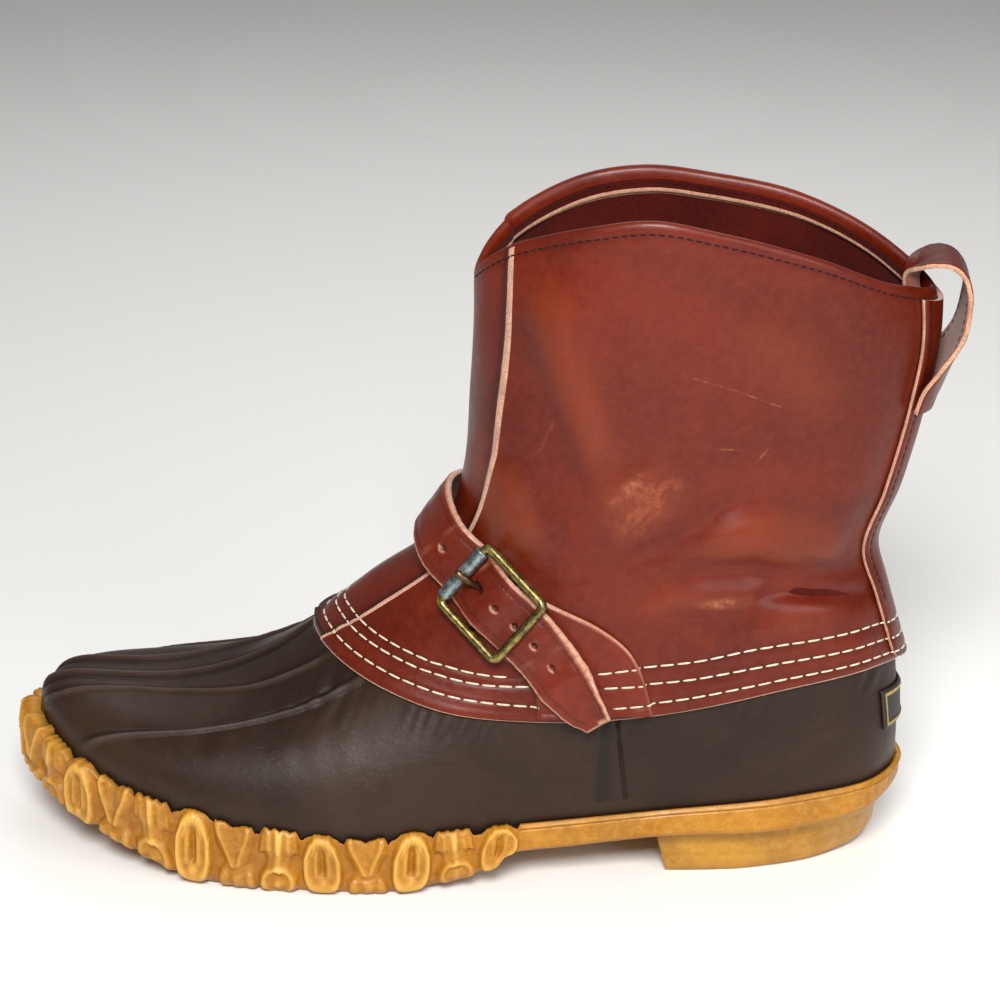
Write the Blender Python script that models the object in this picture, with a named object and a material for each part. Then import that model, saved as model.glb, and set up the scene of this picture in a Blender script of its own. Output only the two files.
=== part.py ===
"""Left duck boot with an instep strap: part.py, Blender 4.5, metres, +X to the toe, +Y left, +Z up.

Rings run round the foot from the toe centre along the lateral side to the heel and back along the
medial side. A surface is lofted through rings that share their columns, and every overlay is cut
from the same functions at another depth.
"""
import math

import bmesh
import bpy
import numpy as np
from mathutils import Matrix, Vector
from mathutils.bvhtree import BVHTree

# Named sizes
FOOT_LENGTH = 0.300
HALF_WIDTH = 0.050
SHAFT_HEIGHT = 0.230
LEATHER_WALL = 0.0020
RUBBER_WALL = 0.0022
FIT_GAP = 0.0004
LAP = 0.022
STRIP_HALF_WIDTH = 0.0181
STRIP_STEP = 0.0013
STRIP_WALL = 0.0017
COLLAR_FOLD_DEPTH = 0.009
COLLAR_FOLD_WALL = 0.0036
RIB_HEIGHT = 0.0013
RIB_HALF_WIDTH = 0.0022
LUG_PROUD = 0.0030
LUG_PITCH = 0.0147
LUGS_EACH_SIDE = 13
LUG_DIP = 0.0030
INSOLE_THICKNESS = 0.0040
INSOLE_GAP = 0.0008
INSOLE_INSET = 0.0006
SOLE_GAP = 0.0009
FOOT_INSET = 0.0010
HEEL_GAP = 0.0005
STAY_HALF_WIDTH = 0.0120
STAY_THICKNESS = 0.0016
LOOP_THICKNESS = 0.0020
LOOP_LENGTH = 0.0400
LOOP_STAND = 0.0095
STRAP_WIDTH = 0.0200
STRAP_THICKNESS = 0.0022
STRAP_HOLE_WIDTH = 0.0032
ANCHOR_THICKNESS = 0.0018
PATCH_GAP = 0.0006
BUCKLE_LENGTH = 0.0310
BUCKLE_WIDTH = 0.0285
BUCKLE_CORNER = 0.0024
BUCKLE_BAR = 0.0032
BUCKLE_HEIGHT = 0.0063
CENTRE_BAR = 0.0020
CENTRE_BAR_HEIGHT = 0.0034
ROLLER_OUTSIDE = 0.0046
ROLLER_BORE = 0.0032
ROLLER_BAR = 0.0024
ROLLER_LENGTH = 0.0190
PRONG_THICKNESS = 0.0016
LABEL_HALF_WIDTH = 0.0185
LABEL_THICKNESS = 0.0008

# Rings, one row for each of ten stations from toe to heel. Columns: lateral x as a share of
# FOOT_LENGTH, lateral y of HALF_WIDTH, lateral z of SHAFT_HEIGHT, then the same for the medial side.
FEATHER = (
    (0.997, -0.180, 0.174, 0.997, -0.180, 0.174),
    (0.963, 0.260, 0.167, 0.977, -0.580, 0.167),
    (0.887, 0.700, 0.143, 0.907, -0.860, 0.148),
    (0.780, 0.930, 0.115, 0.793, -0.980, 0.117),
    (0.633, 1.020, 0.093, 0.653, -0.930, 0.096),
    (0.460, 0.910, 0.104, 0.467, -0.670, 0.107),
    (0.280, 0.760, 0.117, 0.280, -0.660, 0.120),
    (0.127, 0.710, 0.139, 0.127, -0.680, 0.139),
    (0.033, 0.450, 0.143, 0.033, -0.440, 0.143),
    (0.002, 0.020, 0.139, 0.002, 0.020, 0.139),
)
LAP_EDGE = (
    (0.677, -0.160, 0.330, 0.677, -0.160, 0.330),
    (0.665, 0.140, 0.328, 0.665, -0.420, 0.328),
    (0.637, 0.420, 0.317, 0.637, -0.660, 0.317),
    (0.590, 0.670, 0.300, 0.590, -0.820, 0.300),
    (0.520, 0.840, 0.278, 0.520, -0.880, 0.278),
    (0.407, 0.870, 0.265, 0.407, -0.820, 0.265),
    (0.273, 0.830, 0.276, 0.273, -0.780, 0.276),
    (0.140, 0.740, 0.309, 0.140, -0.720, 0.309),
    (0.040, 0.430, 0.315, 0.040, -0.430, 0.315),
    (0.000, 0.020, 0.304, 0.000, 0.020, 0.304),
)
INSTEP = (
    (0.617, -0.140, 0.396, 0.617, -0.140, 0.396),
    (0.608, 0.090, 0.393, 0.608, -0.360, 0.393),
    (0.583, 0.320, 0.389, 0.583, -0.560, 0.389),
    (0.537, 0.540, 0.383, 0.537, -0.710, 0.383),
    (0.470, 0.710, 0.372, 0.470, -0.780, 0.372),
    (0.377, 0.770, 0.365, 0.377, -0.760, 0.365),
    (0.267, 0.770, 0.376, 0.267, -0.740, 0.376),
    (0.153, 0.690, 0.402, 0.153, -0.680, 0.402),
    (0.063, 0.410, 0.415, 0.063, -0.410, 0.415),
    (0.027, 0.010, 0.417, 0.027, 0.010, 0.417),
)
THROAT = (
    (0.520, -0.100, 0.500, 0.520, -0.100, 0.500),
    (0.513, 0.100, 0.500, 0.513, -0.290, 0.500),
    (0.497, 0.290, 0.496, 0.497, -0.460, 0.496),
    (0.465, 0.480, 0.487, 0.465, -0.600, 0.487),
    (0.412, 0.630, 0.478, 0.412, -0.690, 0.478),
    (0.343, 0.720, 0.472, 0.343, -0.740, 0.472),
    (0.260, 0.730, 0.467, 0.260, -0.740, 0.467),
    (0.167, 0.640, 0.470, 0.167, -0.640, 0.470),
    (0.078, 0.370, 0.476, 0.078, -0.370, 0.476),
    (0.040, 0.006, 0.480, 0.040, 0.006, 0.480),
)
ANKLE = (
    (0.503, -0.070, 0.578, 0.503, -0.070, 0.578),
    (0.497, 0.110, 0.578, 0.497, -0.260, 0.578),
    (0.480, 0.290, 0.578, 0.480, -0.430, 0.578),
    (0.448, 0.480, 0.576, 0.448, -0.580, 0.576),
    (0.397, 0.630, 0.574, 0.397, -0.670, 0.574),
    (0.330, 0.730, 0.574, 0.330, -0.730, 0.574),
    (0.247, 0.740, 0.574, 0.247, -0.740, 0.574),
    (0.148, 0.630, 0.574, 0.148, -0.630, 0.574),
    (0.057, 0.340, 0.574, 0.057, -0.340, 0.574),
    (0.018, 0.000, 0.574, 0.018, 0.000, 0.574),
)
MID_SHAFT = (
    (0.495, -0.060, 0.704, 0.495, -0.060, 0.704),
    (0.488, 0.120, 0.704, 0.488, -0.240, 0.704),
    (0.472, 0.300, 0.704, 0.472, -0.420, 0.704),
    (0.440, 0.480, 0.704, 0.440, -0.570, 0.704),
    (0.392, 0.630, 0.704, 0.392, -0.660, 0.704),
    (0.322, 0.720, 0.704, 0.322, -0.720, 0.704),
    (0.233, 0.720, 0.704, 0.233, -0.720, 0.704),
    (0.132, 0.600, 0.704, 0.132, -0.620, 0.704),
    (0.033, 0.310, 0.704, 0.033, -0.340, 0.704),
    (-0.005, -0.020, 0.704, -0.005, -0.020, 0.704),
)
UPPER_SHAFT = (
    (0.490, -0.030, 0.826, 0.490, -0.030, 0.826),
    (0.483, 0.140, 0.828, 0.483, -0.210, 0.828),
    (0.463, 0.310, 0.835, 0.463, -0.400, 0.835),
    (0.430, 0.490, 0.846, 0.430, -0.560, 0.846),
    (0.382, 0.640, 0.857, 0.382, -0.660, 0.857),
    (0.313, 0.720, 0.863, 0.313, -0.710, 0.863),
    (0.228, 0.710, 0.857, 0.228, -0.710, 0.857),
    (0.127, 0.590, 0.830, 0.127, -0.620, 0.830),
    (0.025, 0.300, 0.800, 0.025, -0.360, 0.800),
    (-0.015, -0.030, 0.787, -0.015, -0.030, 0.787),
)
COLLAR = (
    (0.490, 0.000, 0.887, 0.490, 0.000, 0.887),
    (0.478, 0.160, 0.907, 0.482, -0.180, 0.907),
    (0.452, 0.310, 0.935, 0.458, -0.380, 0.937),
    (0.412, 0.490, 0.961, 0.418, -0.550, 0.965),
    (0.360, 0.650, 0.983, 0.367, -0.670, 0.987),
    (0.297, 0.720, 0.996, 0.303, -0.710, 0.998),
    (0.220, 0.710, 0.978, 0.223, -0.710, 0.987),
    (0.123, 0.580, 0.939, 0.127, -0.610, 0.965),
    (0.033, 0.280, 0.885, 0.030, -0.330, 0.911),
    (-0.015, -0.040, 0.865, -0.015, -0.040, 0.865),
)

# Rubber's side between FEATHER and LAP_EDGE, a row for each station. Columns: rise and swell of the
# lower handle, drop of the upper one, each of HALF_WIDTH, and the upper handle's reach toward the
# feather line as a share of the way.
RUBBER_HANDLES = (
    (0.560, 0.000, 0.880, 0.490),
    (0.520, 0.000, 0.800, 0.470),
    (0.420, 0.010, 0.620, 0.420),
    (0.360, 0.020, 0.430, 0.380),
    (0.300, 0.030, 0.300, 0.320),
    (0.240, 0.030, 0.240, 0.300),
    (0.240, 0.010, 0.240, 0.200),
    (0.260, 0.010, 0.260, 0.200),
    (0.260, 0.010, 0.260, 0.200),
    (0.260, 0.010, 0.260, 0.200),
)

# Outsole below FEATHER, a row for each station. Column: outset of the bottom edge and of the side, of
# HALF_WIDTH.
SOLE_OUTSETS = (
    (-0.060, 0.105),
    (-0.070, 0.095),
    (-0.080, 0.040),
    (-0.050, 0.025),
    (-0.020, 0.020),
    (-0.010, 0.036),
    (0.020, 0.036),
    (0.020, 0.036),
    (0.010, 0.036),
    (0.000, 0.036),
)

# Underside of the sole: x of FOOT_LENGTH, height of SHAFT_HEIGHT
UNDERSIDE = (
    (0.000, 0.113),
    (0.040, 0.098),
    (0.120, 0.087),
    (0.280, 0.074),
    (0.380, 0.063),
    (0.445, 0.056),
    (0.457, 0.036),
    (0.500, 0.018),
    (0.570, 0.000),
    (0.790, 0.000),
    (0.843, 0.024),
    (0.900, 0.050),
    (0.960, 0.074),
    (1.020, 0.098),
)

# Foot bed on top of the sole: x of FOOT_LENGTH, height of SHAFT_HEIGHT
FOOT_BED = (
    (0.000, 0.122),
    (0.120, 0.109),
    (0.280, 0.093),
    (0.440, 0.074),
    (0.560, 0.044),
    (0.680, 0.038),
    (0.790, 0.042),
    (0.900, 0.078),
    (0.980, 0.112),
)

# Heel block, a row for each station from the front edge to the back. Columns: x of FOOT_LENGTH,
# half width of HALF_WIDTH, at the floor and then at the top.
HEEL_BLOCK = (
    (0.267, 0.640, 0.280, 0.650),
    (0.227, 0.630, 0.227, 0.650),
    (0.180, 0.600, 0.180, 0.640),
    (0.143, 0.540, 0.137, 0.620),
    (0.107, 0.460, 0.090, 0.560),
    (0.080, 0.370, 0.053, 0.450),
    (0.047, 0.230, 0.027, 0.280),
    (0.025, 0.000, 0.014, 0.000),
)

# Raised toe ridges beside the middle one, each from the toe to the leather: distance from the centre
# line of HALF_WIDTH at each of RIDGE_LEVELS, which are shares of the rubber's side
RIDGE_LEVELS = (0.0, 0.20, 0.50, 0.65, 0.80, 1.0)
RIDGES = (
    (0.18, 0.29, 0.26, 0.33, 0.49, 0.54),
    (0.80, 0.90, 0.99, 0.99, 0.97, 0.88),
)


def clear_scene():
    for thing in list(bpy.data.objects):
        bpy.data.objects.remove(thing, do_unlink=True)


def material(name, colour, roughness, metallic=0.0):
    made = bpy.data.materials.new(name)
    made.use_nodes = True
    shader = made.node_tree.nodes["Principled BSDF"]
    shader.inputs["Base Color"].default_value = (*colour, 1.0)
    shader.inputs["Roughness"].default_value = roughness
    shader.inputs["Metallic"].default_value = metallic
    made.diffuse_color = (*colour, 1.0)
    return made


def add_object(name, points, faces, look, smooth=True):
    """One named solid from points and faces, with its normals turned outward."""
    mesh = bpy.data.meshes.new(name)
    mesh.from_pydata([tuple(map(float, p)) for p in points], [], faces)
    mesh.validate()
    work = bmesh.new()
    work.from_mesh(mesh)
    bmesh.ops.remove_doubles(work, verts=work.verts, dist=1e-6)
    bmesh.ops.recalc_face_normals(work, faces=work.faces)
    work.to_mesh(mesh)
    work.free()
    for face in mesh.polygons:
        face.use_smooth = smooth
    mesh.materials.append(look)
    made = bpy.data.objects.new(name, mesh)
    bpy.context.scene.collection.objects.link(made)
    if smooth:
        mesh.set_sharp_from_angle(angle=math.radians(38))
    return made


def unit(v):
    return v / np.maximum(np.linalg.norm(v, axis=-1, keepdims=True), 1e-12)


def curve_at(points, t, closed):
    """Smooth curve through points at t, counted in points, with chord-weighted tangents."""
    points = np.asarray(points, float)
    n = len(points)
    t = np.asarray(t, float)
    i = np.floor(t).astype(int)
    if not closed:
        i = np.clip(i, 0, n - 2)
    f = (t - i)[:, None]

    def pick(k):
        return points[k % n] if closed else points[np.clip(k, 0, n - 1)]

    p0, p1, p2, p3 = pick(i - 1), pick(i), pick(i + 1), pick(i + 2)
    h0 = np.maximum(np.linalg.norm(p1 - p0, axis=1, keepdims=True), 1e-9)
    h1 = np.maximum(np.linalg.norm(p2 - p1, axis=1, keepdims=True), 1e-9)
    h2 = np.maximum(np.linalg.norm(p3 - p2, axis=1, keepdims=True), 1e-9)
    d0, d1, d2 = (p1 - p0) / h0, (p2 - p1) / h1, (p3 - p2) / h2
    m1 = (d0 * h1 + d1 * h0) / (h0 + h1)
    m2 = (d1 * h2 + d2 * h1) / (h1 + h2)
    if not closed:
        m1 = np.where(i[:, None] == 0, 1.5 * d1 - 0.5 * m2, m1)
        m2 = np.where(i[:, None] == n - 2, 1.5 * d1 - 0.5 * m1, m2)
    m1, m2 = m1 * h1, m2 * h1
    a = 2 * f**3 - 3 * f**2 + 1
    b = f**3 - 2 * f**2 + f
    c = -2 * f**3 + 3 * f**2
    d = f**3 - f**2
    return a * p1 + b * m1 + c * p2 + d * m2


def ring_points(rows):
    """Control points of a ring, 18 in all, from its ten rows."""
    scale = np.array([FOOT_LENGTH, HALF_WIDTH, SHAFT_HEIGHT] * 2)
    rows = np.asarray(rows, float) * scale
    return np.concatenate([rows[:, :3], rows[-2:0:-1, 3:]])


def per_station(rows):
    """A table of one row per station carried round the ring on both sides."""
    rows = np.asarray(rows, float)
    return np.concatenate([rows, rows[-2:0:-1]])


STATIONS = 18


def ring_at(rows, t):
    return curve_at(ring_points(rows), t, True)


def smooth_at(rows, t):
    return curve_at(per_station(rows), t, True)


def dense_ring(rows, count=720):
    t = np.arange(count + 1) * STATIONS / count
    points = ring_at(rows, t)
    steps = np.linalg.norm(np.diff(points, axis=0), axis=1)
    return t, np.concatenate([[0], np.cumsum(steps)])


def t_from_front(rows, distance):
    """Ring parameter at signed distances along the ring from the toe, plus to the lateral side."""
    t, along = dense_ring(rows)
    distance = np.asarray(distance, float)
    return np.where(
        distance >= 0,
        np.interp(distance, along, t),
        np.interp(along[-1] + distance, along, t),
    )


def t_from_back(rows, distance):
    """Ring parameter at signed distances along the ring from the heel, plus to the lateral side."""
    t, along = dense_ring(rows)
    middle = np.interp(STATIONS / 2, t, along)
    return np.interp(middle - np.asarray(distance, float), along, t)


def grid_normals(grid):
    """Outward normals of a grid of rows by columns, closed round the columns."""
    across = np.roll(grid, -1, axis=1) - np.roll(grid, 1, axis=1)
    up = np.gradient(grid, axis=0)
    return unit(np.cross(across, up))


def plan_normals(ring):
    """Outward normals of a ring seen from above."""
    along = np.roll(ring, -1, axis=0) - np.roll(ring, 1, axis=0)
    return unit(np.stack([along[:, 1], -along[:, 0], np.zeros(len(ring))], 1))


def tube_faces(rows, columns, first=0, close_rows=False):
    faces = []
    last = rows if close_rows else rows - 1
    for r in range(last):
        for c in range(columns):
            a = first + r * columns + c
            b = first + r * columns + (c + 1) % columns
            up = first + ((r + 1) % rows) * columns
            faces.append((a, b, up + (c + 1) % columns, up + c))
    return faces


def cap_faces(columns, first, flip):
    """Triangles across a ring from its lateral to its medial side."""
    faces = []
    for k in range(columns // 2):
        a, b = k, k + 1
        c, d = (columns - k - 1) % columns, (columns - k) % columns
        for face in ((a, b, c), (a, c, d)):
            if len(set(face)) == 3:
                face = tuple(first + v for v in face)
                faces.append(face[::-1] if flip else face)
    return faces


def shell_solid(name, outer, inner, look):
    """Hollow solid open above and below: outer rows bottom to top, inner rows bottom to top."""
    rings = np.concatenate([outer, inner[::-1]])
    faces = tube_faces(len(rings), rings.shape[1], close_rows=True)
    return add_object(name, rings.reshape(-1, 3), faces, look)


def capped_solid(name, rings, look, smooth=True):
    rings = np.asarray(rings)
    rows, columns = rings.shape[:2]
    faces = tube_faces(rows, columns)
    faces += cap_faces(columns, 0, True)
    faces += cap_faces(columns, (rows - 1) * columns, False)
    return add_object(name, rings.reshape(-1, 3), faces, look, smooth)


def slab_solid(name, outer, inner, look, smooth=True):
    """Closed slab between two grids of rows by columns."""
    rows, columns = outer.shape[:2]
    count = rows * columns
    faces = []
    for r in range(rows - 1):
        for c in range(columns - 1):
            a = r * columns + c
            quad = (a, a + 1, a + 1 + columns, a + columns)
            faces.append(quad)
            faces.append(tuple(count + v for v in quad[::-1]))
    rim = [(0, c) for c in range(columns - 1)]
    rim += [(r, columns - 1) for r in range(rows - 1)]
    rim += [(rows - 1, c) for c in range(columns - 1, 0, -1)]
    rim += [(r, 0) for r in range(rows - 1, 0, -1)]
    for k, (r, c) in enumerate(rim):
        r2, c2 = rim[(k + 1) % len(rim)]
        a, b = r * columns + c, r2 * columns + c2
        faces.append((b, a, count + a, count + b))
    points = np.concatenate([outer.reshape(-1, 3), inner.reshape(-1, 3)])
    return add_object(name, points, faces, look, smooth)


# Leather

LEATHER_RINGS = (LAP_EDGE, INSTEP, THROAT, ANKLE, MID_SHAFT, UPPER_SHAFT, COLLAR)
# Width of the front strip at each of those rings, as a multiple of its width at the lap edge
STRIP_SPREAD = (1.00, 1.14, 1.14, 1.30, 1.40, 1.41, 1.40)


def leather_meridians(front_distances, back_distances, side_shares):
    """Ring points of every leather level for three groups of columns: distances from the front
    centre, shares between the groups, and distances from the back centre."""
    levels = []
    for rows, spread in zip(LEATHER_RINGS, STRIP_SPREAD):
        front = np.asarray(front_distances) * spread
        levels.append(ring_at(rows, leather_columns(rows, front, back_distances, side_shares)))
    return np.array(levels)


def leather_columns(rows, front, back, shares):
    """Column parameters of one ring, counter-clockwise from the toe centre; front and back are
    distances on the lateral side, repeated on the medial side."""
    front = np.asarray(front, float)
    back = np.asarray(back, float)
    t_f = t_from_front(rows, front)
    t_b = t_from_back(rows, back)
    lateral = t_f[-1] + (t_b[0] - t_f[-1]) * np.asarray(shares)
    m_f = t_from_front(rows, -front[::-1])
    m_b = t_from_back(rows, -back[::-1])
    medial = m_b[-1] + (m_f[0] - m_b[-1]) * np.asarray(shares)
    parts = [[0.0], t_f, lateral, t_b, [STATIONS / 2], m_b, medial, m_f]
    return np.concatenate(parts)


RIDGE_AT_LAP = (RIDGES[0][-1] * HALF_WIDTH, RIDGES[1][-1] * HALF_WIDTH)
FRONT_AT_LAP = (
    RIB_HALF_WIDTH,
    STRIP_HALF_WIDTH * 0.55,
    STRIP_HALF_WIDTH,
    STRIP_HALF_WIDTH + 2.2 * FIT_GAP,
    RIDGE_AT_LAP[0] - RIB_HALF_WIDTH,
    RIDGE_AT_LAP[0],
    RIDGE_AT_LAP[0] + RIB_HALF_WIDTH,
    (RIDGE_AT_LAP[0] + RIDGE_AT_LAP[1]) / 2,
    RIDGE_AT_LAP[1] - RIB_HALF_WIDTH,
    RIDGE_AT_LAP[1],
    RIDGE_AT_LAP[1] + RIB_HALF_WIDTH,
)
STRIP_COLUMNS = 3
RIDGE_COLUMNS = (6, 10)
SIDE_SHARES = tuple((k + 1) / 12 for k in range(11))
BACK_AT_LEATHER = (STAY_HALF_WIDTH, STAY_HALF_WIDTH / 2)
LAP_ROWS = (0.0, 0.33, 0.66, 1.0)
LEATHER_SHARES = (0.20, 0.27, 0.34, 0.41, 0.48, 0.55, 0.63, 0.71, 0.79, 0.87, 0.93)

# Rolled collar edge, outside and inside: distance below the top of COLLAR_FOLD_DEPTH and depth into
# the leather of COLLAR_FOLD_WALL
ROLL_OUTER = ((0.56, 0.0), (0.18, 0.0), (0.045, 0.14), (0.0, 0.45))
ROLL_INNER = ((0.033, 0.75), (0.20, 1.0), (1.0, 1.0))


def leather_grid():
    """Smooth outside of the leather: rows by columns, from the lap edge to the collar, with the
    distance of each row from the lap edge and from the collar."""
    levels = leather_meridians(FRONT_AT_LAP, BACK_AT_LEATHER, SIDE_SHARES)
    dense = np.linspace(0, len(levels) - 1, 181)
    lines = np.array([curve_at(levels[:, c], dense, False) for c in range(levels.shape[1])])
    steps = np.linalg.norm(np.diff(lines, axis=1), axis=2)
    along = np.concatenate([np.zeros((len(lines), 1)), np.cumsum(steps, axis=1)], axis=1)
    return lines, along


def leather_rows(lines, along, rule):
    """One row: rule maps each meridian's length to a distance from the lap edge."""
    out = []
    for line, length in zip(lines, along):
        d = rule(length[-1])
        out.append([np.interp(d, length, line[:, k]) for k in range(3)])
    return np.array(out)


def leather_rules():
    rules = [lambda whole, s=s: s * LAP for s in LAP_ROWS]
    rules += [lambda whole, s=s: s * whole for s in LEATHER_SHARES]
    return rules


def sunk(columns):
    """How far each column lies below the panels: the front strip and nothing else."""
    depth = np.zeros(columns)
    depth[: STRIP_COLUMNS + 1] = STRIP_STEP
    depth[columns - STRIP_COLUMNS:] = STRIP_STEP
    return depth


def leather_normals(lines):
    """Outward normals along every meridian."""
    grid = np.swapaxes(lines, 0, 1)
    return np.swapaxes(grid_normals(grid), 0, 1)


def leather_row_with_normals(lines, along, normals, rule):
    points = leather_rows(lines, along, rule)
    rows = leather_rows(normals, along, rule)
    return points, unit(rows)


def leather_offset(field, rule, depth):
    """A row of the leather at a depth below its outside, one depth for all columns or one each."""
    points, normals = leather_row_with_normals(*field, rule)
    depth = np.broadcast_to(np.asarray(depth, float), (len(points),))
    return points - normals * depth[:, None]


def leather_field():
    lines, along = leather_grid()
    return lines, along, leather_normals(lines)


def upper_solid(field, look):
    columns = len(field[0])
    strip = sunk(columns)
    inner_depth = np.where(strip > 0, STRIP_STEP + STRIP_WALL, LEATHER_WALL)
    outer = [leather_offset(field, rule, strip) for rule in leather_rules()]
    inner = [leather_offset(field, rule, inner_depth) for rule in leather_rules()]
    for below, depth in ROLL_OUTER:
        rule = (lambda whole, below=below: whole - below * COLLAR_FOLD_DEPTH)
        outer.append(leather_offset(field, rule, strip + depth * COLLAR_FOLD_WALL))
    step = leather_offset(field, lambda whole: whole - 1.05 * COLLAR_FOLD_DEPTH, inner_depth)
    inner.append(step)
    for below, depth in ROLL_INNER[::-1]:
        rule = (lambda whole, below=below: whole - below * COLLAR_FOLD_DEPTH)
        depth = np.maximum(depth * COLLAR_FOLD_WALL, strip + 0.72 * COLLAR_FOLD_WALL)
        inner.append(leather_offset(field, rule, depth))
    return shell_solid("upper", np.array(outer), np.array(inner), look)


# Rubber shell

RUBBER_SHARES = (0.0, 0.07, 0.16, 0.26, 0.37, 0.48, 0.60, 0.72, 0.84, 0.93, 1.0)
BACK_AT_LABEL = (LABEL_HALF_WIDTH, LABEL_HALF_WIDTH / 2)


def rubber_smooth(t, v):
    """Smooth outside of the rubber at ring parameters t and height share v, without ridges."""
    p0 = ring_at(FEATHER, t)
    p3 = ring_at(LAP_EDGE, t)
    rise, swell, drop, reach = smooth_at(RUBBER_HANDLES, t).T
    n0 = plan_normals_at(FEATHER, t)
    up = np.array([0.0, 0.0, 1.0])
    p1 = p0 + (up * rise[:, None] + n0 * swell[:, None]) * HALF_WIDTH
    p2 = p3 + (p0 - p3) * (1.0, 1.0, 0.0) * reach[:, None] - up * drop[:, None] * HALF_WIDTH
    return (
        (1 - v) ** 3 * p0
        + 3 * (1 - v) ** 2 * v * p1
        + 3 * (1 - v) * v**2 * p2
        + v**3 * p3
    )


def plan_normals_at(rows, t):
    ahead = ring_at(rows, np.mod(t + 0.02, STATIONS))
    behind = ring_at(rows, np.mod(t - 0.02, STATIONS))
    along = ahead - behind
    return unit(np.stack([along[:, 1], -along[:, 0], np.zeros(len(along))], 1))


def ridge_distances(v):
    """Distances of the front columns from the centre line at height share v."""
    lap = np.array(FRONT_AT_LAP)
    first, second = (np.interp(v, RIDGE_LEVELS, row) * HALF_WIDTH for row in RIDGES)
    w = RIB_HALF_WIDTH
    toe = np.array([
        w, 0.5 * first, first - 1.36 * w, first - 1.18 * w, first - w, first, first + w,
        0.5 * (first + second), second - w, second, second + w,
    ])
    blend = np.clip((v - 0.7) / 0.3, 0, 1)
    return toe * (1 - blend) + lap * blend


def rubber_columns(v):
    dense = np.arange(721) * STATIONS / 720
    ring = rubber_smooth(dense, v)
    steps = np.linalg.norm(np.diff(ring, axis=0), axis=1)
    along = np.concatenate([[0], np.cumsum(steps)])
    front = ridge_distances(v)
    blend = np.clip((v - 0.8) / 0.2, 0, 1)
    back = np.array(BACK_AT_LABEL) * (1 - blend) + np.array(BACK_AT_LEATHER) * blend
    middle = np.interp(STATIONS / 2, dense, along)
    t_f = np.interp(front, along, dense)
    m_f = np.interp(along[-1] - front[::-1], along, dense)
    t_b = np.interp(middle - back, along, dense)
    m_b = np.interp(middle + back[::-1], along, dense)
    lateral = t_f[-1] + (t_b[0] - t_f[-1]) * np.asarray(SIDE_SHARES)
    medial = m_b[-1] + (m_f[0] - m_b[-1]) * np.asarray(SIDE_SHARES)
    return np.concatenate([[0.0], t_f, lateral, t_b, [STATIONS / 2], m_b, medial, m_f])


def ridge_heights(columns, v):
    """Raised height of each column: the toe ridges, fading at the band and under the leather."""
    height = np.zeros(columns)
    fade = np.interp(v, (0.05, 0.2, 0.9, 1.0), (0.0, 1.0, 1.0, 0.3))
    height[0] = RIB_HEIGHT * fade
    for c in RIDGE_COLUMNS:
        height[c] = RIB_HEIGHT * fade
        height[columns - c] = RIB_HEIGHT * fade
    return height


def rubber_field(field):
    """Outside of the rubber from its foot in the sole to the top of the lap."""
    columns = len(field[0])
    clear = np.where(sunk(columns) > 0, STRIP_STEP + STRIP_WALL, LEATHER_WALL) + FIT_GAP
    smooth = np.array([rubber_smooth(rubber_columns(v), v) for v in RUBBER_SHARES])
    normals = grid_normals(smooth)
    rows = []
    for k, v in enumerate(RUBBER_SHARES):
        lift = ridge_heights(columns, v) - clear * v**2
        rows.append(smooth[k] + normals[k] * lift[:, None])
    rows[-1] = leather_offset(field, lambda whole: 0.0, clear)
    lap = [leather_offset(field, lambda whole, s=s: s * LAP, clear) for s in LAP_ROWS[1:-1]]
    lap.append(leather_offset(field, lambda whole: LAP * LAP_ROWS[-1], clear))
    foot = rubber_foot(rows[0])
    return np.array([foot] + rows + lap)


def height_at(rows, x):
    """Smooth height from a table at x, flat where two rows are level."""
    rows = np.array(rows) * (FOOT_LENGTH, SHAFT_HEIGHT)
    step = np.diff(rows[:, 0])
    slope = np.diff(rows[:, 1]) / step
    before, after = slope[:-1], slope[1:]
    same = before * after > 0
    mean = 2 * before * after / np.where(same, before + after, 1.0)
    tangent = np.concatenate([[slope[0]], np.where(same, mean, 0.0), [slope[-1]]])
    x = np.clip(x, rows[0, 0], rows[-1, 0])
    i = np.clip(np.searchsorted(rows[:, 0], x, side="right") - 1, 0, len(step) - 1)
    f = (x - rows[i, 0]) / step[i]
    a = (1 + 2 * f) * (1 - f) ** 2
    b = f * (1 - f) ** 2 * step[i]
    c = f**2 * (3 - 2 * f)
    d = f**2 * (f - 1) * step[i]
    return a * rows[i, 1] + b * tangent[i] + c * rows[i + 1, 1] + d * tangent[i + 1]


def bed_height(x):
    return height_at(FOOT_BED, x)


def underside_height(x):
    return height_at(UNDERSIDE, x)



def rubber_foot(feather):
    inner = feather - plan_normals(feather) * FOOT_INSET
    inner[:, 2] = bed_height(inner[:, 0]) + SOLE_GAP
    return inner


def inward(grid, depth):
    return grid - grid_normals(grid) * depth


def rubber_solid(grid, look):
    """The rubber's inside keeps the foot and the lap rows level with the outside ones."""
    smooth = grid.copy()
    inner = inward(smooth, RUBBER_WALL)
    foot_in = grid[0] - plan_normals(grid[0]) * RUBBER_WALL
    foot_in[:, 2] = grid[0][:, 2]
    inner[0] = foot_in
    return shell_solid("rubber_shell", grid, inner, look), inner


# Sole, heel and insole

BAND_ROWS = (
    (0.00, 0.0, 0.3),
    (0.14, 1.0, 1.0),
    (0.45, 1.0, 1.0),
    (0.78, 1.0, 0.9),
    (1.00, 1.0, 0.55),
)
LUG_COLUMNS = (-0.50, -0.34, -0.12, 0.12, 0.34)


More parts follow.
